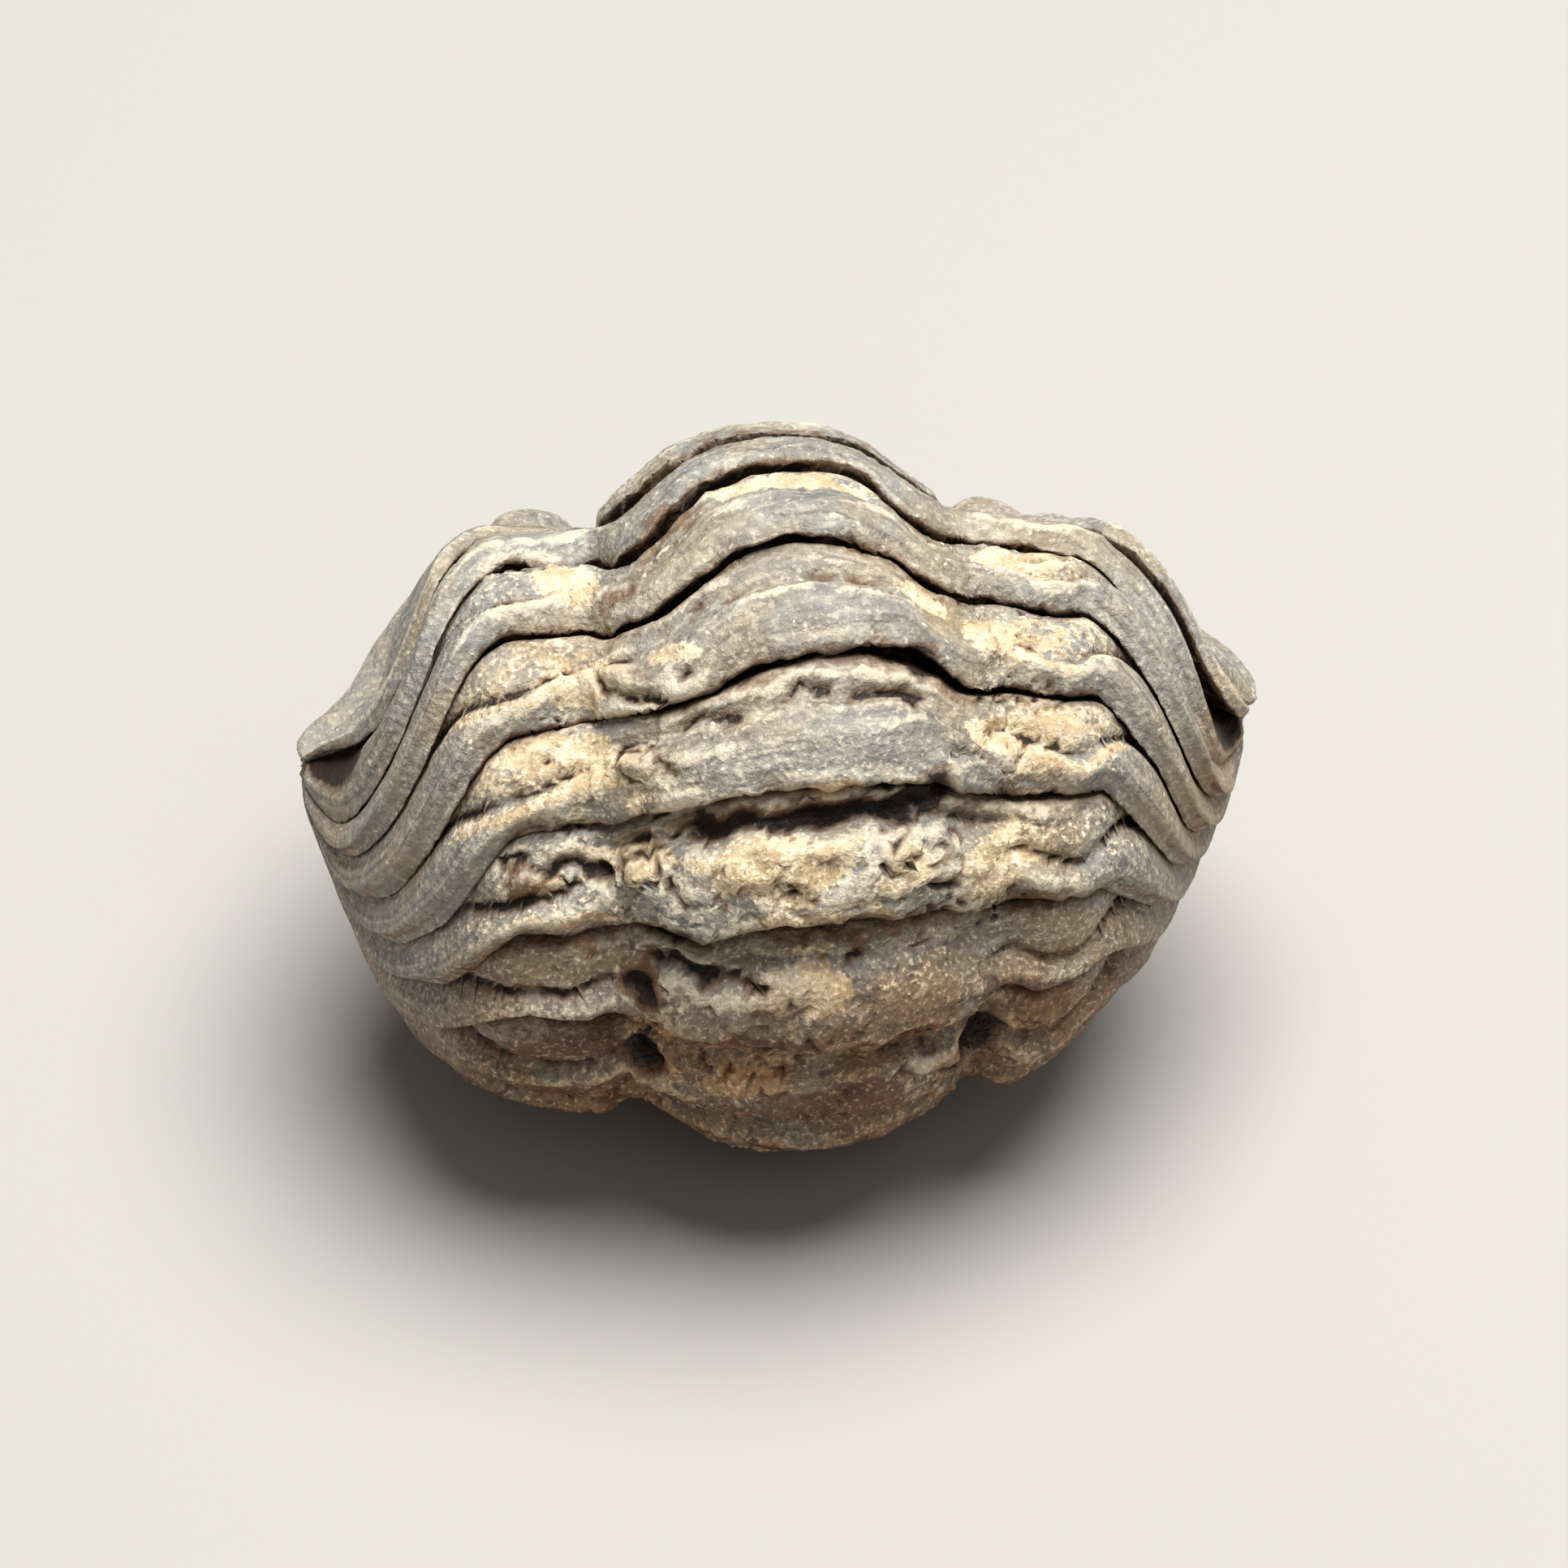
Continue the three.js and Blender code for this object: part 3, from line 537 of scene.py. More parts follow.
# Patches of colour: where, signed place, half length across and along in millimetres, strength.
# Matrix fills, crust stands out in lumps, grey is bare shell, stain is partly real stain and partly painted
# shade, hollow is painted shade, and the clean patches take away painted shade and dirt.
PATCHES = {
    "matrix": [
        (2.3, 0.02, 1.35, 0.3, 1.0), (2.42, -0.36, 0.55, 0.34, 0.9), (2.45, 0.4, 1.0, 0.3, 0.8),
        (2.74, -0.33, 0.45, 0.2, 0.8), (3.3, 0.14, 0.45, 0.3, 0.75), (3.5, 0.43, 1.0, 0.16, 0.8),
        (3.55, 0.25, 0.75, 0.36, 0.9), (3.6, -0.115, 0.45, 0.24, 0.95), (3.72, -0.3, 0.9, 0.3, 0.85),
        (4.35, -0.35, 1.2, 0.34, 0.85), (4.38, 0.38, 1.05, 0.28, 0.9), (4.45, 0.21, 0.85, 0.26, 0.85),
        (4.52, -0.25, 0.75, 0.42, 0.95), (4.62, -0.085, 0.5, 0.22, 0.8), (4.72, 0.34, 0.55, 0.26, 0.7),
        (4.9, -0.17, 0.4, 0.14, 0.7), (5.1, 0.035, 0.62, 0.1, 1.0), (5.16, -0.13, 0.6, 0.12, 0.8),
        (5.33, -0.24, 0.5, 0.1, 0.75), (5.45, -0.17, 0.55, 0.36, 0.95), (5.55, -0.45, 0.5, 0.2, 0.85),
        (5.6, 0.24, 0.75, 0.62, 0.75), (5.62, 0.01, 2.1, 0.42, 1.0), (5.84, -0.33, 1.2, 0.12, 0.7),
        (5.9, -0.3, 1.0, 0.12, 0.9), (5.92, -0.02, 2.2, 0.13, 1.0), (6.4, 0.0, 0.3, 0.5, 0.8),
        (6.5, 0.11, 0.9, 0.3, 0.4), (6.52, 0.01, 0.32, 0.4, 1.0), (7.15, -0.19, 0.55, 0.2, 0.7),
        (7.42, -0.19, 0.3, 0.2, 0.7), (7.44, 0.23, 0.3, 0.3, 0.5), (7.5, -0.06, 0.55, 0.22, 0.8),
        (7.6, -0.1, 0.7, 0.2, 0.6),
    ],
    "crust": [
        (3.6, 0.235, 0.4, 0.35, 0.5), (3.7, -0.22, 0.45, 0.3, 0.6), (4.6, -0.23, 0.45, 0.25, 0.6),
        (5.55, -0.25, 0.45, 0.25, 0.8), (5.62, 0.01, 2.1, 0.4, 1.0), (5.93, -0.02, 2.3, 0.12, 1.0),
    ],
    "pale": [
        (2.6, -0.06, 0.7, 0.1, 0.8), (2.62, 0.1, 0.9, 0.12, 0.8), (4.47, -0.166, 0.09, 0.09, 1.0),
        (4.8, 0.0, 2.1, 0.45, 0.3), (5.45, -0.19, 0.14, 0.3, 0.7), (5.78, 0.165, 0.2, 0.4, 0.9),
        (5.94, -0.02, 2.1, 0.12, 1.0), (6.5, -0.005, 0.3, 0.4, 0.7), (7.36, -0.06, 0.6, 0.24, 0.6),
        (7.5, -0.07, 0.7, 0.3, 0.45),
    ],
    "stain_and_shade": [
        (2.2, -0.12, 0.55, 0.4, 0.7), (2.7, -0.2, 0.4, 0.3, 0.55), (4.85, -0.11, 0.5, 0.1, 0.55),
        (5.22, 0.0, 1.5, 0.18, 0.7), (5.45, -0.45, 0.4, 0.28, 0.6), (5.92, 0.3, 0.8, 0.22, 0.6),
        (6.15, 0.06, 1.6, 0.24, 0.6), (6.2, -0.45, 1.3, 0.12, 0.6), (6.56, -0.2, 0.34, 0.4, 1.0),
        (6.9, 0.32, 0.6, 0.3, 0.8), (6.92, -0.05, 1.3, 0.1, 0.75), (7.12, 0.04, 1.7, 0.12, 0.75),
        (7.4, -0.42, 1.3, 0.3, 0.6), (7.75, 0.04, 1.7, 0.4, 0.7),
    ],
    "free_of_shade_and_dirt": [(5.12, 0.04, 0.65, 0.12, 0.85), (5.15, -0.13, 0.6, 0.14, 0.6), (6.14, 0.09, 1.1, 0.16, 0.5)],
    "hollow": [
        (3.98, 0.13, 0.42, 0.18, 1.0), (4.5, -0.194, 0.07, 0.2, 1.0), (5.04, 0.115, 0.5, 0.14, 0.8),
        (5.2, -0.06, 0.6, 0.08, 0.4), (5.3, 0.06, 0.9, 0.05, 0.7), (5.4, -0.33, 0.75, 0.16, 0.55),
        (6.08, -0.14, 0.6, 0.16, 1.0), (6.2, 0.08, 0.5, 0.1, 0.6),
    ],
    "ochre": [
        (3.45, 0.165, 0.4, 0.4, 0.7), (3.72, -0.2, 0.5, 0.26, 0.5), (4.6, -0.19, 0.35, 0.35, 0.6),
        (5.65, 0.24, 1.0, 0.5, 0.6), (6.3, -0.45, 1.6, 0.25, 0.5), (6.4, 0.4, 1.2, 0.4, 0.5),
        (6.62, 0.15, 1.2, 0.4, 0.5), (7.45, -0.06, 0.6, 0.22, 0.2), (7.5, 0.35, 1.4, 0.4, 0.3),
    ],
    "grey": [
        (2.85, 0.0, 2.2, 0.25, 0.8), (3.7, 0.06, 1.6, 0.4, 0.9), (4.72, 0.0, 2.0, 0.4, 0.9),
        (5.55, 0.06, 0.24, 0.3, 0.8), (5.62, -0.1, 0.24, 0.16, 0.8), (5.78, 0.03, 0.5, 0.12, 0.8),
        (5.8, 0.45, 1.3, 0.35, 0.9), (6.3, 0.1, 1.6, 0.2, 0.8), (6.45, 0.3, 0.8, 0.2, 0.6),
        (6.52, -0.13, 1.0, 0.5, 1.0), (6.8, -0.42, 1.6, 0.3, 0.9), (6.85, 0.43, 1.3, 0.25, 0.9),
        (7.5, 0.11, 0.7, 0.2, 0.8),
    ],
}
# The head's edge stands away from the first rib near each tip and leaves a hollow: place and reach of
# its middle, then how deep it goes on the left and on the right.
HOLLOW_PLACE = 0.87
HOLLOW_REACH = 0.13
HOLLOW_DEPTH = [0.85, 0.45]
# Small rounded bosses with a raised rim: where, signed place, radius in millimetres, how bright their
# middle is.
BOSSES = [
    (4.52, -0.18, 0.26, 0.6), (4.62, 0.25, 0.26, 1.0), (5.5, -0.175, 0.28, 0.4), (5.42, -0.455, 0.24, 0.6),
    (5.5, 0.085, 0.26, 0.8), (5.62, 0.135, 0.26, 0.2),
]
# How cracked the crust on each ring is, head to tail.
CRACKED = [0.2, 0.2, 0.35, 0.15, 0.2, 1.0, 0.75, 1.0] + [0.6] * 7
# How much pale matrix still fills the low ground of each part, head to tail.
MATRIX_LEFT = [0.3, 0.45, 0.6, 0.8, 0.9, 0.6, 0.35, 0.12, 0.1] + [0.1] * 6


def grid_normals(points):
    """Outward normals of a sheet of points."""
    along = np.roll(points, -1, axis=0) - np.roll(points, 1, axis=0)
    across = np.gradient(points, axis=1)
    normal = np.cross(across, along)
    return normal / (np.linalg.norm(normal, axis=-1, keepdims=True) + 1e-9)


def spread_out(values, rows, columns):
    """Values averaged over the rows and columns around them."""
    total = sum(np.roll(values, step, axis=0) for step in range(-rows, rows + 1))
    wide = np.pad(total, ((0, 0), (columns, columns)), mode="edge")
    count = values.shape[1]
    return sum(wide[:, k:k + count] for k in range(2 * columns + 1)) / (2 * rows + 1) / (2 * columns + 1)


def relaxed(points, outward, where):
    """The sheet with the places where it would fold over itself eased flat."""
    for _ in range(FOLD_ROUNDS):
        folded = fall(*FOLDED, (grid_normals(points) * outward).sum(-1))
        folded = np.clip(FOLD_SPREAD * spread_out(folded * where, 1, 1), 0, 1) * where
        even = np.stack([spread_out(points[..., axis], 1, 1) for axis in range(3)], axis=-1)
        points = points + (even - points) * folded[..., None]
    return points


class Weathering:
    """Relief and colour masks laid over the unweathered surface, some of them painted shade and painted
    highlights.
    """

    def __init__(self, sheet, plain, form, settings):
        self.sheet = sheet
        self.plain = plain
        self.form = form
        self.amount = settings.weathering
        self.shape = plain.shape[:2]
        self.height = np.zeros(self.shape)
        self.masks = {kind: np.zeros(self.shape) for kind in MASK_KINDS}
        # distances to knobs, cracks and patches are measured on a bent copy, so that none is round
        bends = np.stack([mottle(plain, 0.5, seed, 2) for seed in (21, 22, 23)], -1)
        self.bent = plain + 0.16 * self.amount * bends
        self.run = (sheet.part + sheet.share)[:, 0]
        self.signed = (sheet.place * sheet.side)[0]
        self.across = (breadth(sheet.place) * sheet.side)[0]

    def spot(self, where, place):
        """The point of the plain form at a place on the shell."""
        row = int(np.argmin(np.abs(self.run - where)))
        column = int(np.argmin(np.abs(self.signed - place)))
        return self.plain[row, column]

    def away(self, where, place):
        """Distance of every point from a place on the shell, in millimetres."""
        return np.linalg.norm(self.bent - self.spot(where, place), axis=-1)

    def raise_mask(self, kind, mask):
        """Lays a mask over one kind, which keeps the higher of the two."""
        self.masks[kind] = np.maximum(self.masks[kind], mask)

    def add_knobs(self):
        """Low round swellings with a shallow ditch round them."""
        for where, place, radius, height in KNOBS:
            away = self.away(where, place) / radius
            self.height += height * ease(0.0, 0.75, 1 - away)
            self.height -= 0.5 * height * hump(away, 1.15, 0.3)

    def add_pits(self):
        """Small pits and holes, both with painted shade inside, the holes pale round the edge."""
        for where, place, radius, height in PITS:
            away = self.away(where, place) / radius
            self.height += height * np.clip(1 - away ** 3, 0, 1)
            self.height += 0.03 * hump(away, 1.3, 0.5)
            is_hole = height < HOLE_DEPTH
            reach = 1.75 if is_hole else 1.35
            self.masks["hollow"] += np.clip(reach - away, 0, 1) * min(1.2, abs(height) / 0.2)
            self.masks["pale"] += 0.8 * hump(away, reach + 0.05, 0.35) * is_hole

    def add_bosses(self):
        """Broken bosses: a raised pale rim, a sunken ring inside it and a ditch outside, both with painted
        shade.
        """
        ditch = ease(-0.6, 0.1, mottle(self.form, 0.4, 17))
        ring = ease(-0.6, 0.2, mottle(self.form, 0.3, 18))
        for where, place, radius, bright in BOSSES:
            away = self.away(where, place) / radius
            self.height += 0.15 * ease(1.08, 0.82, away) - 0.13 * hump(away, 0.6, 0.24)
            self.height -= 0.13 * hump(away, 1.25, 0.26)
            self.masks["pale"] += 0.9 * hump(away, 0.92, 0.22) + 0.8 * bright * ease(0.34, 0.14, away)
            self.masks["hollow"] += 0.9 * hump(away, 1.25, 0.22) * ditch
            self.masks["hollow"] += 0.7 * hump(away, 0.6, 0.18) * ring
            self.masks["ochre"] += bright * ease(0.55, 0.3, away)

    def add_cracks(self):
        """Cracks with raised pale shoulders; a negative depth gives a low pale ridge."""
        for width, depth, places in CRACKS:
            stops = [self.spot(*place) for place in places]
            away = np.full(self.shape, np.inf)
            for start, stop in zip(stops, stops[1:]):
                line = stop - start
                share = np.clip(((self.bent - start) @ line) / (line @ line + 1e-9), 0, 1)
                near = start + share[..., None] * line
                away = np.minimum(away, np.linalg.norm(self.bent - near, axis=-1))
            self.height -= depth * hump(away, 0, width)
            if depth < 0:
                self.masks["pale"] += hump(away, 0, width)
                continue
            self.height += 0.3 * depth * hump(away, 1.7 * width, width)
            self.masks["hollow"] += min(1.1, 8.0 * depth) * hump(away, 0, width)
            self.masks["pale"] += min(0.7, 5.0 * depth) * hump(away, 1.6 * width, 0.9 * width)

    def add_patches(self):
        """Patches of colour, longer across or along the body as PATCHES says."""
        for kind, patches in PATCHES.items():
            for where, place, across, along, strength in patches:
                offset = self.bent - self.spot(where, place)
                wide = offset[..., 0]
                long = np.sqrt(np.maximum(0, (offset ** 2).sum(-1) - wide ** 2))
                away = np.hypot(wide / across, long / along)
                self.raise_mask(kind, strength * ease(0.0, 1.0, 1.55 - away))

    def fill_furrows(self):
        """Pale matrix in the axial furrows, on the front band of each rib and along its furrow."""
        share, place, part = self.sheet.share, self.sheet.place, self.sheet.part
        left = np.array(MATRIX_LEFT)[part]
        line = pleural_furrow(place)
        reach = furrow_reach(place)
        wide = breadth(place)
        inner = ease(0.85, 1.15, wide) * fall(0.56, 0.66, place)
        streak = hump(share, line + 0.12, 0.16)
        front = ease(0.04, 0.2, share) * fall(line - reach, line + reach, share)
        low = np.where(self.sheet.thorax, inner * np.maximum(0.85 * streak, 0.62 * front), 0.0)
        self.raise_mask("matrix", left * np.maximum(low, 0.55 * hump(wide, 1.02, 0.24)))

    def crackle(self):
        """Wandering cracks that split the crust on the rings and in the axial furrows into lumps."""
        wide = breadth(self.sheet.place)
        web = mottle(self.form / np.array([1.8, 1.0, 1.0]), 0.34, 31, 3)
        some = ease(-0.3, 0.1, mottle(self.form, 1.0, 32))
        ring = np.array(CRACKED)[self.sheet.part] * fall(0.85, 1.1, wide)
        where = self.amount * some * (ring + 0.8 * hump(wide, 1.1, 0.4) * (self.sheet.part > 1))
        line = hump(web, 0, 0.08) * where
        edge = hump(np.abs(web), 0.14, 0.07) * where
        self.height += 0.04 * edge - 0.09 * line
        self.masks["hollow"] += 0.85 * line
        self.masks["pale"] += 0.55 * edge

    def roughen(self):
        """Broad wear, streaks along the ribs, lumps and grit, less of them on the flanks."""
        rough = 1.0 - 0.7 * ease(0.34, 0.6, self.sheet.place)
        rough = rough * (1 + 0.4 * ease(4.5, 6.5, self.run[:, None])) * self.amount
        self.height += 0.035 * rough * mottle(self.form, 0.9, 1, 2)
        self.height += 0.028 * rough * mottle(self.form, 0.34, 2, 2)
        self.height += 0.01 * mottle(self.form, 0.13, 3)
        run = np.broadcast_to(self.run[:, None], self.shape)
        signed = np.broadcast_to(self.across, self.shape)
        grain = np.stack([run * 9.0, signed * 2.1, 0 * run], axis=-1)
        self.height += 0.045 * rough * mottle(grain, 1.0, 5, 2)
        crust = mottle(self.form, 0.42, 4, 3)
        fill = np.clip(self.masks["matrix"], 0, 1)
        self.height += self.amount * fill * (0.07 * ease(0.02, 0.2, crust) - 0.02)
        ropes = 1 - np.abs(mottle(self.form, 0.36, 6, 2)) * 3.0
        crust = np.clip(self.masks.pop("crust"), 0, 1)
        self.height += self.amount * crust * (0.13 * np.clip(ropes, -0.6, 1) - 0.02)
        self.masks["pale"] += crust * ease(0.25, 0.8, ropes)
        self.masks["stain_and_shade"] += 0.5 * crust * ease(0.1, -0.6, ropes)

    def worn_points(self, normal):
        """The form with this relief on it, smoother where the relief would make steep walls."""
        calm = tip_calm(self.sheet.place)
        points = self.form + normal * (self.height * calm)[..., None]
        steep = spread_out(fall(0.25, 0.65, (grid_normals(points) * normal).sum(-1)), 1, 1)
        height = self.height + (spread_out(self.height, 1, 3) - self.height) * steep
        return self.form + normal * (height * calm)[..., None]

    def finished_masks(self, points, normal, gaps, floor, opening):
        """The masks for the material: painted shade with some dirt in the low places and gaps, painted
        highlights on the crests, stain and earth tint with painted shade below.
        """
        sheet = self.sheet
        part, share, place, side = sheet.part, sheet.share, sheet.place, sheet.side
        run = part + share
        calm = tip_calm(place)
        masks = {kind: np.clip(mask, 0, 1) for kind, mask in self.masks.items()}
        # how far the surface near and around each point stands above it
        stand = ((points - self.plain) * normal).sum(-1)
        near = spread_out(stand, 5, 3) - stand
        wide = spread_out(stand, 13, 6) - stand
        under = ((sheet.lip > 0) | (share > 0.995)) & (part < LAST_PART)
        # painted shade in creases and low ground: the more the surface around a point stands above it, the
        # darker it is painted, and the pleural furrow gets a painted dark line
        crease_shade = ease(0.05, 0.22, near) + 0.5 * ease(0.1, 0.35, wide)
        crease_shade = crease_shade * np.where(share < 0.2, 1.0, 0.55 + 0.45 * (sheet.lip > 0))
        line = hump(share, pleural_furrow(place), furrow_reach(place) - 0.01)
        line = line * ease(0.95, 1.15, breadth(place)) * fall(0.6, 0.68, place)
        lined = np.where(side < 0, 1.0, 0.6) * ease(-0.45, 0.0, mottle(self.plain, 0.8, 15, 2))
        crease_shade = crease_shade + sheet.thorax * line * lined
        # painted shadow in the gap behind each rear edge, spreading onto the next segment's front
        fringe = fall(0.0, 1.0, share / (0.18 + 0.11 * gaps))
        shade = np.maximum(floor, 0.9 * fringe) * np.minimum(1.0, gaps) * (part > 0) * calm
        # painted shade in ragged specks where each lip rolls over into its gap
        lip_shade = 0.5 * ease(0.93, 1.0, share) * (part < LAST_PART)
        lip_shade = lip_shade * ease(-0.2, 0.3, mottle(self.form, 0.3, 16)) * calm
        # the hollow mask: painted shade in creases, flank openings, gaps, the rows tucked under each lip
        # and the lip edges, on top of the darkness already laid in cracks, pits, boss ditches and hollow
        # patches
        shade_and_dirt = masks["hollow"] + crease_shade + 1.5 * opening + 0.9 * shade + 0.7 * under * calm + lip_shade
        masks["hollow"] = np.clip(shade_and_dirt, 0, 1.2) * (1 - masks.pop("free_of_shade_and_dirt"))
        # painted highlights on the crests and a painted light rim along each lip, laid over the pale grains
        # and worn edges
        crest_highlight = ease(0.02, 0.12, -near) * np.where(part == 0, 0.45, 1 - 0.4 * ease(4.5, 6.5, part))
        thorax_lip = (part < LAST_PART) & (share > 0.9)
        pale = masks["pale"] + crest_highlight + 0.3 * thorax_lip * (1 - under)
        masks["pale"] = np.clip(pale, 0, 1) * (1 - opening)
        masks["matrix"] = masks["matrix"] * (1 - opening)
        true_normal = grid_normals(points)
        upright = (true_normal * normal).sum(-1)
        masks["flat"] = ease(0.45, 0.85, upright)
        cloud = ease(-0.6, 0.3, mottle(points, 0.9, 14, 2))
        # the lower rings and the faces that turn downwards get more stain, as painted shade
        below = ease(-0.05, 0.65, -true_normal[..., 2])
        masks["stain_and_shade"] = np.clip(masks["stain_and_shade"] + 0.3 * ease(5.7, 7.4, run) * cloud + 0.5 * below, 0, 1)
        # earth tint: partly the stone's own brown, partly painted shade and painted warm reflected light
        # that darken the lower rings, the tips and the undersides
        low = 0.1 * ease(2.5, 4.5, run) + 0.85 * ease(5.8, 7.2, run) * (0.5 + 0.5 * cloud) + 0.5 * below
        low = low + np.where(side > 0, 0.45, 0.15) * ease(0.66, 0.88, place) * ease(0.6, 1.2, run)
        low = np.where(run > LAST_IN_VIEW, 0.65 * np.maximum(below, 0.6), low)
        bare = 1 - masks.pop("grey")
        masks["earth_and_shade"] = np.clip(low, 0, 1) * (0.3 + 0.7 * bare)
        masks["matrix"] = masks["matrix"] * bare
        masks["ochre"] = masks["ochre"] * bare
        firm = ease(0.05, 0.35, upright)
        for kind in ("matrix", "pale", "stain_and_shade", "hollow", "ochre"):
            even = spread_out(masks[kind], 1, 2)
            masks[kind] = even + (masks[kind] - even) * firm
        masks["along"] = np.broadcast_to(self.run[:, None], self.shape)
        masks["across"] = np.broadcast_to(self.across, self.shape)
        return masks


def flank_hollows(points, sheet):
    """The head's edge stands open over the first rib near each tip; also gives where shade is painted into
    the opening.
    """
    open_here = (sheet.part == 1) * fall(0.05, 0.95, sheet.share)
    open_here = open_here * hump(sheet.place, HOLLOW_PLACE, HOLLOW_REACH)
    depth = np.where(sheet.side < 0, HOLLOW_DEPTH[0], HOLLOW_DEPTH[1])
    inward = np.stack([-0.5 * sheet.side, 0.75 + 0 * sheet.side, -0.3 + 0 * sheet.side], axis=-1)
    points = points + (open_here * depth)[..., None] * inward
    return points, ease(0.04, 0.45, open_here)


def surface_relief(sheet, plain, worn, settings):
    """Height of every part, with the size of the gaps under the rear edges and where their floors lie."""
    part, share, place, side = sheet.part, sheet.share, sheet.place, sheet.side
    relief = segment_relief(part, share, place)
    relief = np.where(part == 0, head_relief(share, place, side), relief)
    relief = np.where(part == LAST_PART, tail_relief(share, place), relief)
    gaps = sheet.along_edges(GAPS, rest=0.8)[part[:, 0]] * (part > 0)
    gaps = gaps * (1.0 + 0.5 * mottle(plain, 0.6, 11)) * settings.ledge_depth
    floor = fall(0.0, 1.0, share / (0.05 + 0.055 * gaps))
    relief = relief - GAP_DEPTH * gaps * floor * fall(0.8, 0.98, place)
    chip = ease(0.1, 0.45, mottle(plain, 0.45, 12)) * worn
    relief = relief - CHIP_DEPTH * settings.weathering * chip * ease(0.82, 0.97, share) * (part < LAST_PART)
    # the head's edge stands out on the right and the first rib lies low behind it
    band = (side > 0) * ease(0.52, 0.64, place) * fall(0.88, 0.96, place)
    relief = relief + band * (0.13 * (part == 0) * ease(0.8, 0.88, share) - 0.15 * (part == 1))
    return relief, gaps, floor


def join_lips(points, sheet):
    """Moves the rows under each overhanging edge so that they join its lip to the next segment's front."""
    hidden = sheet.lip[:, 0] > 0
    for row in np.flatnonzero(hidden):
        first = last = row
        while hidden[first]:
            first -= 1
        while hidden[last % len(points)]:
            last += 1
        mix = sheet.lip[row, 0]
        lip, foot = points[first], points[last % len(points)]
        tuck = LIP_TUCK * math.sin(math.pi * mix) * fall(0.8, 0.97, sheet.place[0])
        lift = points[first - 2] - lip
        lift = lift / (np.linalg.norm(lift, axis=-1, keepdims=True) + 1e-6)
        points[row] = lip + (foot - lip) * mix + tuck[:, None] * lift


def fossil_surface(columns, settings):
    """Every point of the finished surface, with its colour masks, in millimetres."""
    sheet = Sheet(columns)
    share, place, side = sheet.share, sheet.place, sheet.side
    bend = -SEGMENT_TURN * sheet.ride_edges(sheet.along_edges(EDGE_BENDS))
    plain = point_at(place, angle_of(sheet, bend), side, 0.0)
    worn = 1.0 - 0.75 * ease(0.36, 0.6, place)
    wander = settings.weathering * worn * (0.7 * mottle(plain, 1.1, 7) + 0.7 * mottle(plain, 0.38, 8))
    jag = np.round(JAG_STEPS * mottle(plain, 0.3, 9)) / JAG_STEPS
    wander = wander + 0.9 * settings.weathering * worn * jag * ease(0.9, 1.0, share)
    relief, gaps, floor = surface_relief(sheet, plain, worn, settings)
    form = point_at(place, angle_of(sheet, bend + wander), side, relief)

    wear = Weathering(sheet, plain, form, settings)
    for step in (wear.add_knobs, wear.add_pits, wear.add_bosses, wear.add_cracks, wear.add_patches,
                 wear.fill_furrows, wear.crackle, wear.roughen):
        step()
    normal = grid_normals(plain)
    points, opening = flank_hollows(wear.worn_points(normal), sheet)
    points = relaxed(points, normal, (sheet.lip == 0) & (share > 0.01) & (share < 0.9))
    join_lips(points, sheet)
    masks = wear.finished_masks(points, normal, gaps, floor, opening)
    points[..., 2] = np.maximum(points[..., 2], -REST_DEPTH)
    return points, masks


# ---- Small helpers for materials and objects ----
def linear(hex_colour):
    """An sRGB hex colour as linear red, green, blue and alpha."""
    channels = [int(hex_colour[k:k + 2], 16) / 255 for k in (1, 3, 5)]
    return tuple(c / 12.92 if c <= 0.04045 else ((c + 0.055) / 1.055) ** 2.4 for c in channels) + (1.0,)


def per_mm(size):
    """Texture scale that gives lumps of the given size in millimetres."""
    return 1.0 / (size * MM)


class Nodes:
    """Adds nodes to one material; a value may be a number, a colour or another node's socket."""

    def __init__(self, material):
        material.use_nodes = True
        self.tree = material.node_tree
        self.tree.nodes.clear()

    def add(self, kind, inputs=(), **settings):
        """Adds a node; inputs are socket and value pairs."""
        node = self.tree.nodes.new(kind)
        for name, value in settings.items():
            setattr(node, name, value)
        for name, value in dict(inputs).items():
            if isinstance(value, bpy.types.NodeSocket):
                self.tree.links.new(value, node.inputs[name])
            else:
                node.inputs[name].default_value = value
        return node

    def mask(self, name):
        """One of the colour masks that the surface carries."""
        node = self.add("ShaderNodeAttribute", attribute_type="GEOMETRY", attribute_name=name)
        return node.outputs["Fac"]

    def grit(self, where, size, detail):
        """Cloudy noise in lumps of the given size in millimetres, 0 to 1."""
        inputs = {"Vector": where, "Scale": per_mm(size), "Detail": detail, "Roughness": 0.55}
        return self.add("ShaderNodeTexNoise", inputs).outputs["Fac"]

    def between(self, value, low, high):
        """0 below low, 1 above high, smooth between."""
        inputs = {"Value": value, "From Min": low, "From Max": high}
        return self.add("ShaderNodeMapRange", inputs, interpolation_type="SMOOTHSTEP").outputs["Result"]

    def maths(self, operation, first, second):
        """One sum or product of two values."""
        return self.add("ShaderNodeMath", {0: first, 1: second}, operation=operation).outputs[0]

    def times(self, first, second):
        """The product of two values."""
        return self.maths("MULTIPLY", first, second)

    def plus(self, first, second):
        """The sum of two values."""
        return self.maths("ADD", first, second)

    def minus(self, first, second):
        """The first value less the second."""
        return self.maths("SUBTRACT", first, second)

    def blend(self, factor, low, high, way="MIX"):
        """One colour laid over another."""
        node = self.add("ShaderNodeMix", {0: factor, 6: low, 7: high},
                        data_type="RGBA", blend_type=way, clamp_result=True)
        return node.outputs[2]

    def ragged(self, mask, coarse, fine, low, high):
        """A soft mask broken up into a ragged one."""
        coarse_part = self.times(self.minus(coarse, 0.5), 1.1)
        fine_part = self.times(self.minus(fine, 0.5), 0.7)
        return self.between(self.plus(self.plus(mask, coarse_part), fine_part), low, high)


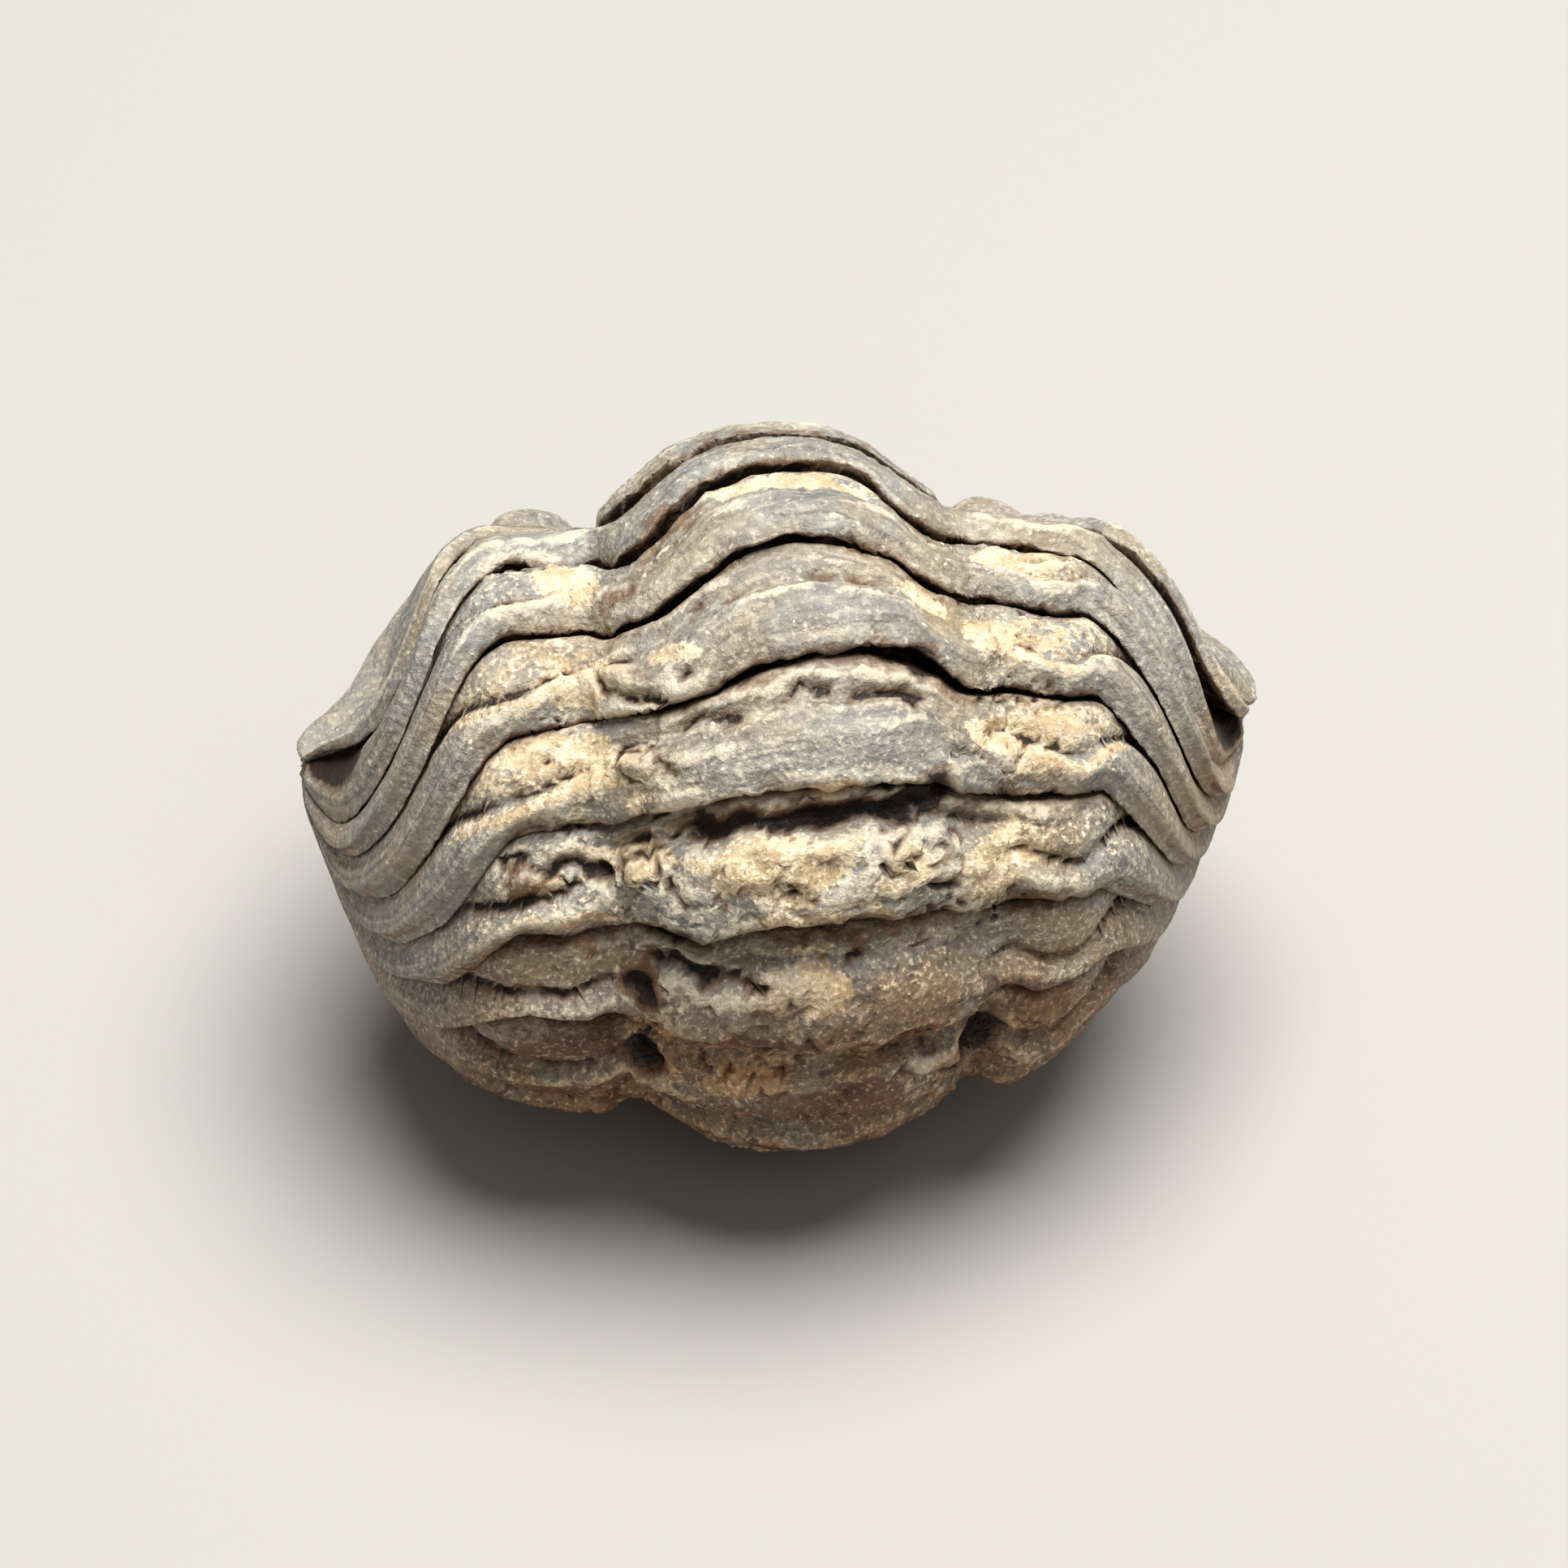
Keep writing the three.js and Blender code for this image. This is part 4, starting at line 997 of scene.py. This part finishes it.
def limestone(settings):
    """Grey calcite shell with pale grains and painted highlights, cream matrix in the low ground, brown
    stain and painted shade, and painted near-black shadow in the gaps.
    """
    material = bpy.data.materials.new("limestone_fossil")
    nodes = Nodes(material)
    where = nodes.add("ShaderNodeTexCoord").outputs["Object"]
    lines = nodes.add("ShaderNodeCombineXYZ", {"X": nodes.mask("along"), "Y": nodes.mask("across")})
    streaks = nodes.add("ShaderNodeMapping", {"Vector": lines.outputs[0], "Scale": (14.0, 2.2, 1.0)})
    streak = nodes.add("ShaderNodeTexNoise", {"Vector": streaks.outputs[0], "Scale": 1.0, "Detail": 3.0})
    streak = nodes.minus(streak.outputs["Fac"], 0.5)
    streak = nodes.plus(nodes.times(streak, nodes.mask("flat")), 0.5)
    broad = nodes.grit(where, 1.6, 3)
    medium = nodes.grit(where, 0.42, 4)
    small = nodes.grit(where, 0.16, 3)
    fine = nodes.grit(where, 0.075, 2)
    # shell: blue-grey to warm grey, streaked along the ribs, salted with pale grains
    shell = nodes.blend(nodes.between(broad, 0.38, 0.64), settings.shell, settings.shell_warm)
    dark_streak = nodes.times(nodes.between(streak, 0.5, 0.66), 0.45)
    shell = nodes.blend(dark_streak, shell, settings.shell_dark)
    pale_streak = nodes.times(nodes.between(streak, 0.46, 0.34), 0.25)
    shell = nodes.blend(pale_streak, shell, settings.shell_pale_and_highlight)
    lower = nodes.between(nodes.mask("along"), 4.2, 6.2)
    coarse = nodes.plus(nodes.times(lower, 0.3), 0.3)
    bright = nodes.times(nodes.between(small, 0.46, 0.36), 0.28)
    shell = nodes.blend(bright, shell, settings.shell_pale_and_highlight)
    pepper = nodes.times(nodes.between(small, 0.52, 0.64), coarse)
    shell = nodes.blend(pepper, shell, settings.shell_dark)
    salt = nodes.between(fine, 0.57, 0.7)
    shell = nodes.blend(nodes.times(salt, 0.34), shell, settings.shell_pale_and_highlight)
    crystals = nodes.add("ShaderNodeTexVoronoi", {"Vector": where, "Scale": per_mm(0.15)})
    lot = nodes.add("ShaderNodeSeparateColor", {"Color": crystals.outputs["Color"]}).outputs["Red"]
    edge = nodes.plus(crystals.outputs["Distance"], nodes.minus(fine, 0.5))
    speck = nodes.times(nodes.between(edge, 0.3, 0.05), nodes.between(lot, 0.82, 1.0))
    shell = nodes.blend(speck, shell, settings.matrix_pale)
    # pale grains and worn edges, with the painted highlights on the crests and the painted light rims of
    # the lips
    worn = nodes.ragged(nodes.mask("pale"), medium, fine, 0.35, 0.85)
    shell = nodes.blend(nodes.times(worn, 0.6), shell, settings.shell_pale_and_highlight)
    shell = nodes.blend(nodes.times(nodes.mask("ochre"), 0.6), shell, settings.ochre)
    # matrix: chalky cream with tan and brown grains
    cream = nodes.blend(nodes.between(medium, 0.4, 0.62), settings.matrix_tan, settings.matrix_cream)
    cream = nodes.blend(nodes.between(fine, 0.55, 0.72), cream, settings.matrix_pale)
    cream = nodes.blend(nodes.times(nodes.between(small, 0.6, 0.7), 0.7), cream, settings.stain_and_shade)
    lumps = nodes.plus(nodes.times(nodes.grit(where, 0.3, 3), 0.6), nodes.times(streak, 0.4))
    filled = nodes.ragged(nodes.mask("matrix"), lumps, fine, 0.38, 0.66)
    colour = nodes.blend(nodes.times(filled, 0.92), shell, cream)
    # iron stain with painted shade on the lower rings and undersides, then painted shadow, brown at its
    # fringe and near black in its middle, in the gaps, creases, pits and under the lips
    stain_and_shade_cover = nodes.ragged(nodes.mask("stain_and_shade"), medium, small, 0.35, 0.7)
    colour = nodes.blend(nodes.times(stain_and_shade_cover, 0.75), colour, settings.stain_and_shade)
    shade_noise = nodes.plus(nodes.times(small, 0.7), nodes.times(fine, 0.6))
    shaded = nodes.plus(nodes.mask("hollow"), nodes.minus(shade_noise, 0.65))
    rim = nodes.between(shaded, 0.25, 0.62)
    colour = nodes.blend(nodes.times(rim, 0.65), colour, settings.stain_and_shade)
    colour = nodes.blend(nodes.times(nodes.between(shaded, 0.6, 0.98), 0.94), colour, settings.gap)
    # the earth tint browns the lower rings and the tips, partly as their own brown and partly as painted
    # shade and painted warm reflected light; coarse grains show everywhere in them, their dark and bright
    # specks partly painted light and shade of a rough grain
    earth_and_shade = nodes.mask("earth_and_shade")
    tinted = nodes.blend(1.0, colour, settings.earth_and_shade, "MULTIPLY")
    colour = nodes.blend(earth_and_shade, colour, tinted)
    speckle_and_grain_shade = nodes.plus(nodes.times(fine, 0.6), nodes.times(small, 0.4))
    speckle_and_grain_shade = nodes.add("ShaderNodeMapRange", {
        "Value": speckle_and_grain_shade, "From Min": 0.38, "From Max": 0.62, "To Min": 0.5, "To Max": 1.3})
    amount = nodes.plus(nodes.times(lower, 0.5), 0.15)
    speckled_and_shaded = nodes.blend(1.0, colour, speckle_and_grain_shade.outputs["Result"], "MULTIPLY")
    colour = nodes.blend(amount, colour, speckled_and_shaded)
    open_ground = nodes.minus(0.3, nodes.times(rim, 0.3))
    dusted = nodes.times(nodes.times(salt, lower), open_ground)
    colour = nodes.blend(dusted, colour, settings.shell_pale_and_highlight)
    # grains stand out of the surface by about a hundredth of a millimetre
    grains = nodes.add("ShaderNodeTexVoronoi", {"Vector": where, "Scale": per_mm(0.11)}).outputs["Distance"]
    rough = nodes.plus(nodes.times(fine, 0.8), nodes.times(small, 0.9))
    rough = nodes.minus(rough, nodes.times(grains, 0.35))
    bump = nodes.add("ShaderNodeBump", {"Strength": 0.7, "Distance": 0.06 * MM, "Height": rough})
    matte = nodes.add("ShaderNodeMapRange", {"Value": filled, "To Min": 0.55, "To Max": 0.88})
    skin = nodes.add("ShaderNodeBsdfPrincipled", {
        "Base Color": colour, "Roughness": matte.outputs["Result"], "Specular IOR Level": 0.35,
        "Normal": bump.outputs["Normal"]})
    nodes.add("ShaderNodeOutputMaterial", {"Surface": skin.outputs["BSDF"]})
    return material


def plain_material(name, colour, roughness):
    """A plain matte finish for the stage."""
    material = bpy.data.materials.new(name)
    material.use_nodes = True
    skin = material.node_tree.nodes["Principled BSDF"]
    skin.inputs["Base Color"].default_value = colour
    skin.inputs["Roughness"].default_value = roughness
    return material


def finished_object(name, shape, material):
    """An object at the origin, made from a bmesh, with smooth faces."""
    mesh = bpy.data.meshes.new(name)
    for face in shape.faces:
        face.smooth = True
    shape.to_mesh(mesh)
    shape.free()
    mesh.materials.append(material)
    piece = bpy.data.objects.new(name, mesh)
    bpy.context.scene.collection.objects.link(piece)
    return piece


# ---- Settings, operators and panel ----
def colour_setting(name, description, hex_colour):
    """A colour with its default given as sRGB hex."""
    return bpy.props.FloatVectorProperty(
        name=name, description=description, subtype="COLOR", size=4, min=0, max=1,
        default=linear(hex_colour))


class FossilSettings(bpy.types.PropertyGroup):
    columns: bpy.props.IntProperty(
        name="Columns", description="Columns of facets from tip to tip", default=197, min=40, max=400)
    weathering: bpy.props.FloatProperty(
        name="Weathering", description="How worn and ragged the surface is", default=1.0, min=0, max=3,
        subtype="FACTOR")
    ledge_depth: bpy.props.FloatProperty(
        name="Ledge depth", description="How deep the gaps under the rear edges are", default=1.0,
        min=0, max=3, subtype="FACTOR")
    shell: colour_setting("Shell", "Grey calcite of the shell", "#93918a")
    shell_warm: colour_setting("Warm shell", "Warmer grey of the shell", "#a3957f")
    shell_dark: colour_setting("Dark shell", "Dark grains of the shell", "#4d4843")
    # pale colour of grains and worn edges, also used for the painted highlights
    shell_pale_and_highlight: colour_setting("Pale shell", "Pale grains and worn edges", "#ebe0c6")
    ochre: colour_setting("Ochre", "Yellow-brown tinge of the lower rings", "#a28a56")
    matrix_cream: colour_setting("Cream matrix", "Cream limestone in the furrows", "#e7d6b4")
    matrix_tan: colour_setting("Tan matrix", "Tan limestone in the furrows", "#c9b28c")
    matrix_pale: colour_setting("Pale matrix", "Chalky grains", "#f4e9d0")
    # brown for iron stain, and also for painted shade on the undersides and at the fringe of the painted
    # gap shadow
    stain_and_shade: colour_setting("Iron stain", "Brown stain", "#6c4b2e")
    # tint for the earth and for the painted shade and painted warm reflected light on the lower rings
    earth_and_shade: colour_setting("Earth tint", "Brown tint of the lower rings", "#deb999")
    # near-black colour of the painted shadow in the gaps, creases, pits and under the lips
    gap: colour_setting("Gaps", "Dark dirt in the gaps", "#241a13")


class StageSettings(bpy.types.PropertyGroup):
    floor: colour_setting("Floor", "Plain pale floor", "#b9b6b0")
    floor_size: bpy.props.FloatProperty(
        name="Floor size", description="Width of the floor", default=1.6, unit="LENGTH")
    lamp_power: bpy.props.FloatProperty(
        name="Lamp power", description="Power of the big soft lamp", default=0.6, unit="POWER")
    fill_light: bpy.props.FloatProperty(
        name="Fill light", description="Strength of the even light all round", default=0.17)
    lens: bpy.props.FloatProperty(
        name="Lens", description="Focal length of the camera", default=218.5 * MM, unit="LENGTH")


class FOSSIL_OT_trilobite(bpy.types.Operator):
    """Builds the rolled-up trilobite over its solid"""
    bl_idname = "fossil.trilobite"
    bl_label = "Trilobite"

    def execute(self, context):
        settings = context.scene.fossil_settings
        columns = settings.columns
        points, masks = fossil_surface(columns, settings)
        low, _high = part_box(NODE)
        centre = np.array(low) / MM + COIL_FROM_CORNER
        rows = len(points)

        shape = bmesh.new()
        bmesh.ops.create_uvsphere(shape, u_segments=rows, v_segments=columns + 1, radius=1.0)
        layers = {kind: shape.verts.layers.float.new(kind) for kind in masks}
        for vert in shape.verts:
            polar = math.acos(max(-1.0, min(1.0, vert.co.z)))
            column = round(polar / math.pi * (columns + 1)) - 1
            if 0 <= column < columns:
                row = round(math.atan2(vert.co.y, vert.co.x) / math.tau * rows) % rows
                for kind, layer in layers.items():
                    vert[layer] = masks[kind][row, column]
                vert.co = points[row, column]
            else:
                edge = 0 if column < 0 else -1
                vert.co = points[:, edge].mean(axis=0)
        bmesh.ops.translate(shape, verts=shape.verts, vec=Vector(centre))
        bmesh.ops.scale(shape, verts=shape.verts, vec=(MM, MM, MM))
        bmesh.ops.recalc_face_normals(shape, faces=shape.faces)
        piece = finished_object("trilobite_stone", shape, limestone(settings))
        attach(piece, "root")
        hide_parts(NODE)
        return {"FINISHED"}


class FOSSIL_OT_stage(bpy.types.Operator):
    """Adds the floor, the soft light and the camera"""
    bl_idname = "fossil.stage"
    bl_label = "Stage"

    # where the eye stands, seen from the middle of the coil
    VIEW_AZIMUTH = -4.92
    VIEW_ELEVATION = 42.67
    VIEW_ROLL = -0.14
    VIEW_DISTANCE = 134.57
    SENSOR_WIDTH = 36.0
    CLIP_START, CLIP_END = 0.005, 10.0
    FLOOR_CORNERS = 96
    FLOOR_GAP = 0.004
    # name, place and width in metres, share of the lamp power
    LAMPS = [("overhead", (0.025, 0.01, 0.18), 0.15, 1.0), ("front", (0.05, -0.16, 0.16), 0.16, 0.05)]

    def execute(self, context):
        settings = context.scene.stage_settings
        scene = context.scene
        low, _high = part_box(NODE)
        middle = Vector(low) + Vector(COIL_FROM_CORNER) * MM

        floor = bmesh.new()
        bmesh.ops.create_circle(floor, cap_ends=True, segments=self.FLOOR_CORNERS,
                                radius=settings.floor_size / 2)
        bmesh.ops.translate(floor, verts=floor.verts, vec=(0, 0, low.z - self.FLOOR_GAP * MM))
        finished_object("floor", floor, plain_material("matte_card", settings.floor, 0.9))

        for name, place, size, share in self.LAMPS:
            self.add_lamp(scene, name, place, middle, size, share * settings.lamp_power)

        world = bpy.data.worlds.new("studio")
        world.use_nodes = True
        background = world.node_tree.nodes["Background"]
        background.inputs["Color"].default_value = linear("#eeeeec")
        background.inputs["Strength"].default_value = settings.fill_light
        scene.world = world
        scene.view_settings.view_transform = "Standard"

        lens = bpy.data.cameras.new("camera")
        lens.lens = settings.lens / MM
        lens.sensor_width = self.SENSOR_WIDTH
        lens.clip_start = self.CLIP_START
        lens.clip_end = self.CLIP_END
        camera = bpy.data.objects.new("camera", lens)
        turn, lift = math.radians(self.VIEW_AZIMUTH), math.radians(self.VIEW_ELEVATION)
        back = Vector((math.sin(turn) * math.cos(lift), -math.cos(turn) * math.cos(lift), math.sin(lift)))
        camera.location = middle + back * self.VIEW_DISTANCE * MM
        camera.rotation_mode = "QUATERNION"
        aim = (-back).to_track_quat("-Z", "Y")
        camera.rotation_quaternion = aim @ Quaternion((0, 0, 1), math.radians(self.VIEW_ROLL))
        scene.collection.objects.link(camera)
        scene.camera = camera
        return {"FINISHED"}

    @staticmethod
    def add_lamp(scene, name, place, aim, size, power):
        """Hangs a round soft lamp that points at the aim."""
        lamp = bpy.data.lights.new(name, "AREA")
        lamp.shape = "DISK"
        lamp.size = size
        lamp.energy = power
        lamp_object = bpy.data.objects.new(name, lamp)
        lamp_object.location = Vector(place)
        lamp_object.rotation_mode = "QUATERNION"
        lamp_object.rotation_quaternion = (aim - Vector(place)).to_track_quat("-Z", "Y")
        scene.collection.objects.link(lamp_object)


class FOSSIL_PT_panel(bpy.types.Panel):
    """Sizes, colours and the two building steps"""
    bl_label = "Rolled trilobite"
    bl_idname = "FOSSIL_PT_panel"
    bl_space_type = "VIEW_3D"
    bl_region_type = "UI"
    bl_category = "Fossil"

    def draw(self, context):
        for settings in (context.scene.fossil_settings, context.scene.stage_settings):
            box = self.layout.box()
            for name in settings.bl_rna.properties.keys():
                if name not in {"rna_type", "name"}:
                    box.prop(settings, name)
        for operator in (FOSSIL_OT_trilobite, FOSSIL_OT_stage):
            self.layout.operator(operator.bl_idname)


CLASSES = (FossilSettings, StageSettings, FOSSIL_OT_trilobite, FOSSIL_OT_stage, FOSSIL_PT_panel)


def register():
    for cls in CLASSES:
        bpy.utils.register_class(cls)
    bpy.types.Scene.fossil_settings = bpy.props.PointerProperty(type=FossilSettings)
    bpy.types.Scene.stage_settings = bpy.props.PointerProperty(type=StageSettings)


def unregister():
    del bpy.types.Scene.stage_settings
    del bpy.types.Scene.fossil_settings
    for cls in reversed(CLASSES):
        bpy.utils.unregister_class(cls)


def main():
    register()
    bpy.ops.fossil.trilobite()
    bpy.ops.fossil.stage()


if __name__ == "__main__":
    main()
